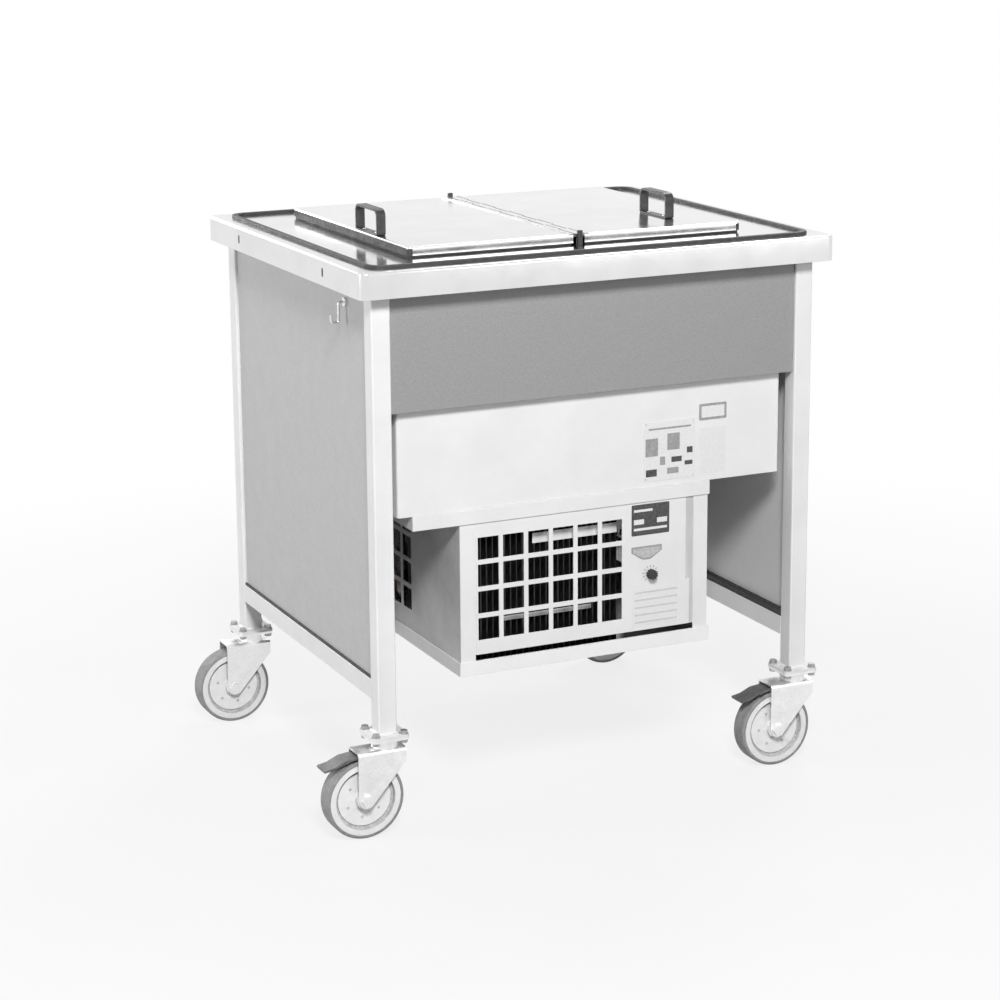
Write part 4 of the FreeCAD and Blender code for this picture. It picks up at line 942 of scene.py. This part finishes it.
def make_print(name, dark, light):
    finish, tree, shader = new_finish(name)
    tree.links.new(
        grey_mix(tree, use_effect(tree, mottle, Scale=250.0), dark, light), shader.inputs["Base Color"]
    )
    tree.links.new(use_effect(tree, mottle, Scale=90.0, Low=0.35, High=0.55), shader.inputs["Roughness"])
    raise_by(tree, shader, use_effect(tree, mottle, Scale=1800.0), 0.05, 0.0002)
    return finish


pale_print = make_print("pale_plate", 0.74, 0.80)
grey_print = make_print("grey_field", 0.28, 0.37)
dark_print = make_print("dark_field", 0.035, 0.075)
tank_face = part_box("tank_casing")[0].y
printed = tank_face - plate_sheet
plates(
    "data_plate", pale_print,
    [oblong(data_left, data_right, data_foot, data_head, plate_corner)], tank_face, plate_sheet,
)
plates(
    "data_fields_grey", grey_print,
    [
        field(0.10, 0.92, 0.86, 0.89), field(0.04, 0.28, 0.42, 0.72), field(0.46, 0.70, 0.50, 0.78),
        field(0.32, 0.42, 0.26, 0.40), field(0.46, 0.68, 0.10, 0.20),
    ],
    printed, print_sheet,
)
plates(
    "data_fields_dark", dark_print,
    [
        field(0.84, 0.95, 0.42, 0.52), field(0.54, 0.74, 0.29, 0.38),
        field(0.80, 0.95, 0.22, 0.29), field(0.05, 0.26, 0.08, 0.20),
    ],
    printed, print_sheet,
)
plates(
    "framed_plate", grey_print,
    [oblong(framed_left, framed_right, framed_foot, framed_head, small_corner)], tank_face, plate_sheet,
)
plates(
    "framed_plate_face", pale_print,
    [oblong(
        framed_left + framed_border, framed_right - framed_border,
        framed_foot + framed_border, framed_head - framed_border,
    )],
    printed, print_sheet,
)
plates(
    "paper_label", make_print("worn_paper", 0.74, 0.79),
    [oblong(paper_left, paper_right, paper_foot, paper_head)], tank_face, print_sheet,
)
rivet_points = [
    Vector((x, printed, z))
    for x in (data_left + rivet_inset, data_right - rivet_inset)
    for z in (data_foot + rivet_inset, data_head - rivet_inset)
]
grown(
    "plate_rivets", "counter", "aluminium", rivet_points, head_growth, bare_aluminium,
    Radius=rivet_radius, Height=rivet_height, Tilt=facing_front,
)

# Plates on the unit front: a dark sticker with pale bars, a shield badge and a pale label.
# They are stuck on round the thermostat knob; the label has faint printed rows.
stuck = front_face - print_sheet
sticker_left, sticker_right, sticker_foot, sticker_head = 0.065, 0.132, 0.412, 0.462
bar_inset = 0.004
block_width, block_foot, block_head = 0.018, 0.018, 0.026
line_foot, line_head = 0.008, 0.012
short_line_gap = 0.030
badge_x, badge_head = 0.092, 0.394
badge_width, badge_drop, badge_border = 0.054, 0.022, 0.003
shield_shape = (
    (-0.5, 0), (0.5, 0), (0.5, -0.42), (0.17, -0.94),
    (0.11, -1), (-0.11, -1), (-0.17, -0.94), (-0.5, -0.42),
)
label_left, label_right, label_foot, label_head = 0.066, 0.152, 0.264, 0.325
row_inset = 0.005
row_height = 0.0026
row_count = 5


def shield(inset):
    """Outline with a straight head and a blunt point at the foot, drawn in by a border."""
    width = badge_width - 2 * inset
    drop = badge_drop - 2 * inset
    return [(badge_x + width * x, badge_head - inset + drop * z) for x, z in reversed(shield_shape)]


plates(
    "dark_sticker", dark_print,
    [oblong(sticker_left, sticker_right, sticker_foot, sticker_head, small_corner)], front_face, print_sheet,
)
bar_left = sticker_left + bar_inset
bar_right = sticker_right - bar_inset
plates(
    "sticker_bars", pale_print,
    [
        oblong(bar_left, bar_left + block_width, sticker_foot + block_foot, sticker_foot + block_head),
        oblong(bar_right - block_width, bar_right, sticker_foot + block_foot, sticker_foot + block_head),
        oblong(bar_left, sticker_right - short_line_gap, sticker_head - line_head, sticker_head - line_foot),
        oblong(bar_left, bar_right, sticker_foot + line_foot, sticker_foot + line_head),
    ],
    stuck, print_sheet,
)
badge_print = make_print("badge_print", 0.42, 0.56)
plates("shield_badge", grey_print, [shield(0.0)], front_face, print_sheet)
plates("shield_face", badge_print, [shield(badge_border)], stuck, print_sheet)
plates(
    "pale_label", make_print("white_label", 0.76, 0.81),
    [oblong(label_left, label_right, label_foot, label_head, small_corner)], front_face, print_sheet,
)
row_pitch = (label_head - label_foot - 2 * row_inset - row_height) / (row_count - 1)
row_feet = [label_foot + row_inset + row_pitch * row for row in range(row_count)]
plates(
    "label_rows", make_print("faint_rows", 0.56, 0.64),
    [oblong(label_left + row_inset, label_right - row_inset, foot, foot + row_height) for foot in row_feet],
    stuck, print_sheet,
)

# Studio: a pale floor that keeps the counter's shadow near it and fades to plain white.
# Large soft lights stand in front, at the left and behind; the world is white behind them.
scene = bpy.context.scene
scene.view_settings.view_transform = "Standard"
floor_reach = 30.0
shadow_full = 0.5
shadow_reach = 2.2
shadow_share = 0.20
thrown_back = 0.37
ambient = 0.05
lights_aim = Vector((0, 0, 0.5))


def camera_or_mirror(tree):
    """One for rays from the camera, mirrors and glass, zero for the others."""
    path = tree.nodes.new("ShaderNodeLightPath")
    value = path.outputs["Is Camera Ray"]
    for name in ("Is Glossy Ray", "Is Transmission Ray"):
        larger = tree.nodes.new("ShaderNodeMath")
        larger.operation = "MAXIMUM"
        tree.links.new(value, larger.inputs[0])
        tree.links.new(path.outputs[name], larger.inputs[1])
        value = larger.outputs["Value"]
    return value


def make_floor_finish():
    """Matt white near the object, blended with plain white light as the camera sees it."""
    finish, tree, shader = new_finish("pale_floor")
    seen_directly = camera_or_mirror(tree)
    pale = grey_mix(tree, use_effect(tree, mottle, Scale=3.0), 0.58, 0.62)
    tree.links.new(grey_mix(tree, seen_directly, thrown_back, pale), shader.inputs["Base Color"])
    shader.inputs["Roughness"].default_value = 0.9
    place = tree.nodes.new("ShaderNodeTexCoord")
    distance = tree.nodes.new("ShaderNodeVectorMath")
    distance.operation = "LENGTH"
    tree.links.new(place.outputs["Object"], distance.inputs[0])
    plain = put(
        tree, "ShaderNodeMapRange",
        From_Min=shadow_full, From_Max=shadow_reach, To_Min=1 - shadow_share, To_Max=1.0,
    )
    plain.interpolation_type = "SMOOTHSTEP"
    tree.links.new(distance.outputs["Value"], plain.inputs["Value"])
    share = tree.nodes.new("ShaderNodeMath")
    share.operation = "MULTIPLY"
    tree.links.new(seen_directly, share.inputs[0])
    tree.links.new(plain.outputs["Result"], share.inputs[1])
    glow = put(tree, "ShaderNodeEmission", Color=(1, 1, 1, 1), Strength=1.0)
    blend = tree.nodes.new("ShaderNodeMixShader")
    tree.links.new(share.outputs["Value"], blend.inputs["Fac"])
    tree.links.new(shader.outputs["BSDF"], blend.inputs[1])
    tree.links.new(glow.outputs["Emission"], blend.inputs[2])
    tree.links.new(blend.outputs["Shader"], tree.nodes["Material Output"].inputs["Surface"])
    return finish


floor_mesh = bpy.data.meshes.new("floor")
floor_corners = [(x * floor_reach, y * floor_reach, 0) for x, y in ((-1, -1), (1, -1), (1, 1), (-1, 1))]
floor_mesh.from_pydata(floor_corners, [], [range(4)])
floor_mesh.materials.append(make_floor_finish())
linked("floor", floor_mesh)

world = bpy.data.worlds.new("studio")
scene.world = world
world.use_nodes = True
sky = world.node_tree
background = sky.nodes["Background"]
background.inputs["Color"].default_value = (1, 1, 1, 1)
strength = put(sky, "ShaderNodeMapRange", To_Min=ambient, To_Max=1.0)
sky.links.new(camera_or_mirror(sky), strength.inputs["Value"])
sky.links.new(strength.outputs["Result"], background.inputs["Strength"])


def softbox(name, place, size, power):
    """Square light that faces the middle of the counter."""
    lamp = bpy.data.lights.new(name, "AREA")
    lamp.size = size
    lamp.energy = power
    lamp_object = bpy.data.objects.new(name, lamp)
    lamp_object.location = place
    lamp_object.rotation_euler = (lights_aim - Vector(place)).to_track_quat("-Z", "Y").to_euler()
    scene.collection.objects.link(lamp_object)


softbox("front_light", place=(-1.2, -3.18, 3.02), size=0.8, power=150)
softbox("left_light", place=(-3.9, 0.6, 1.4), size=1.6, power=67)
softbox("right_fill", place=(2.2, -4.0, 1.6), size=2.0, power=28)
softbox("back_light", place=(2.6, 2.4, 4.0), size=1.8, power=90)
softbox("back_fill", place=(-0.8, 4.4, 1.7), size=2.0, power=70)

camera_place = (-1.7503, -3.6892, 1.4667)
camera_yaw = 0.4378
camera_pitch = 0.2215
camera_roll = -0.0075
camera_lens = 91.78
camera_film = 36.0
camera_shift = -0.08
camera_data = bpy.data.cameras.new("camera")
camera_data.sensor_width = camera_film
camera_data.lens = camera_lens
camera_data.shift_y = camera_shift
camera = bpy.data.objects.new("camera", camera_data)
camera.location = camera_place
aim = Euler((math.pi / 2 - camera_pitch, 0, -camera_yaw)).to_matrix()
camera.rotation_euler = (aim @ Matrix.Rotation(camera_roll, 3, "Z")).to_euler()
scene.collection.objects.link(camera)
scene.camera = camera
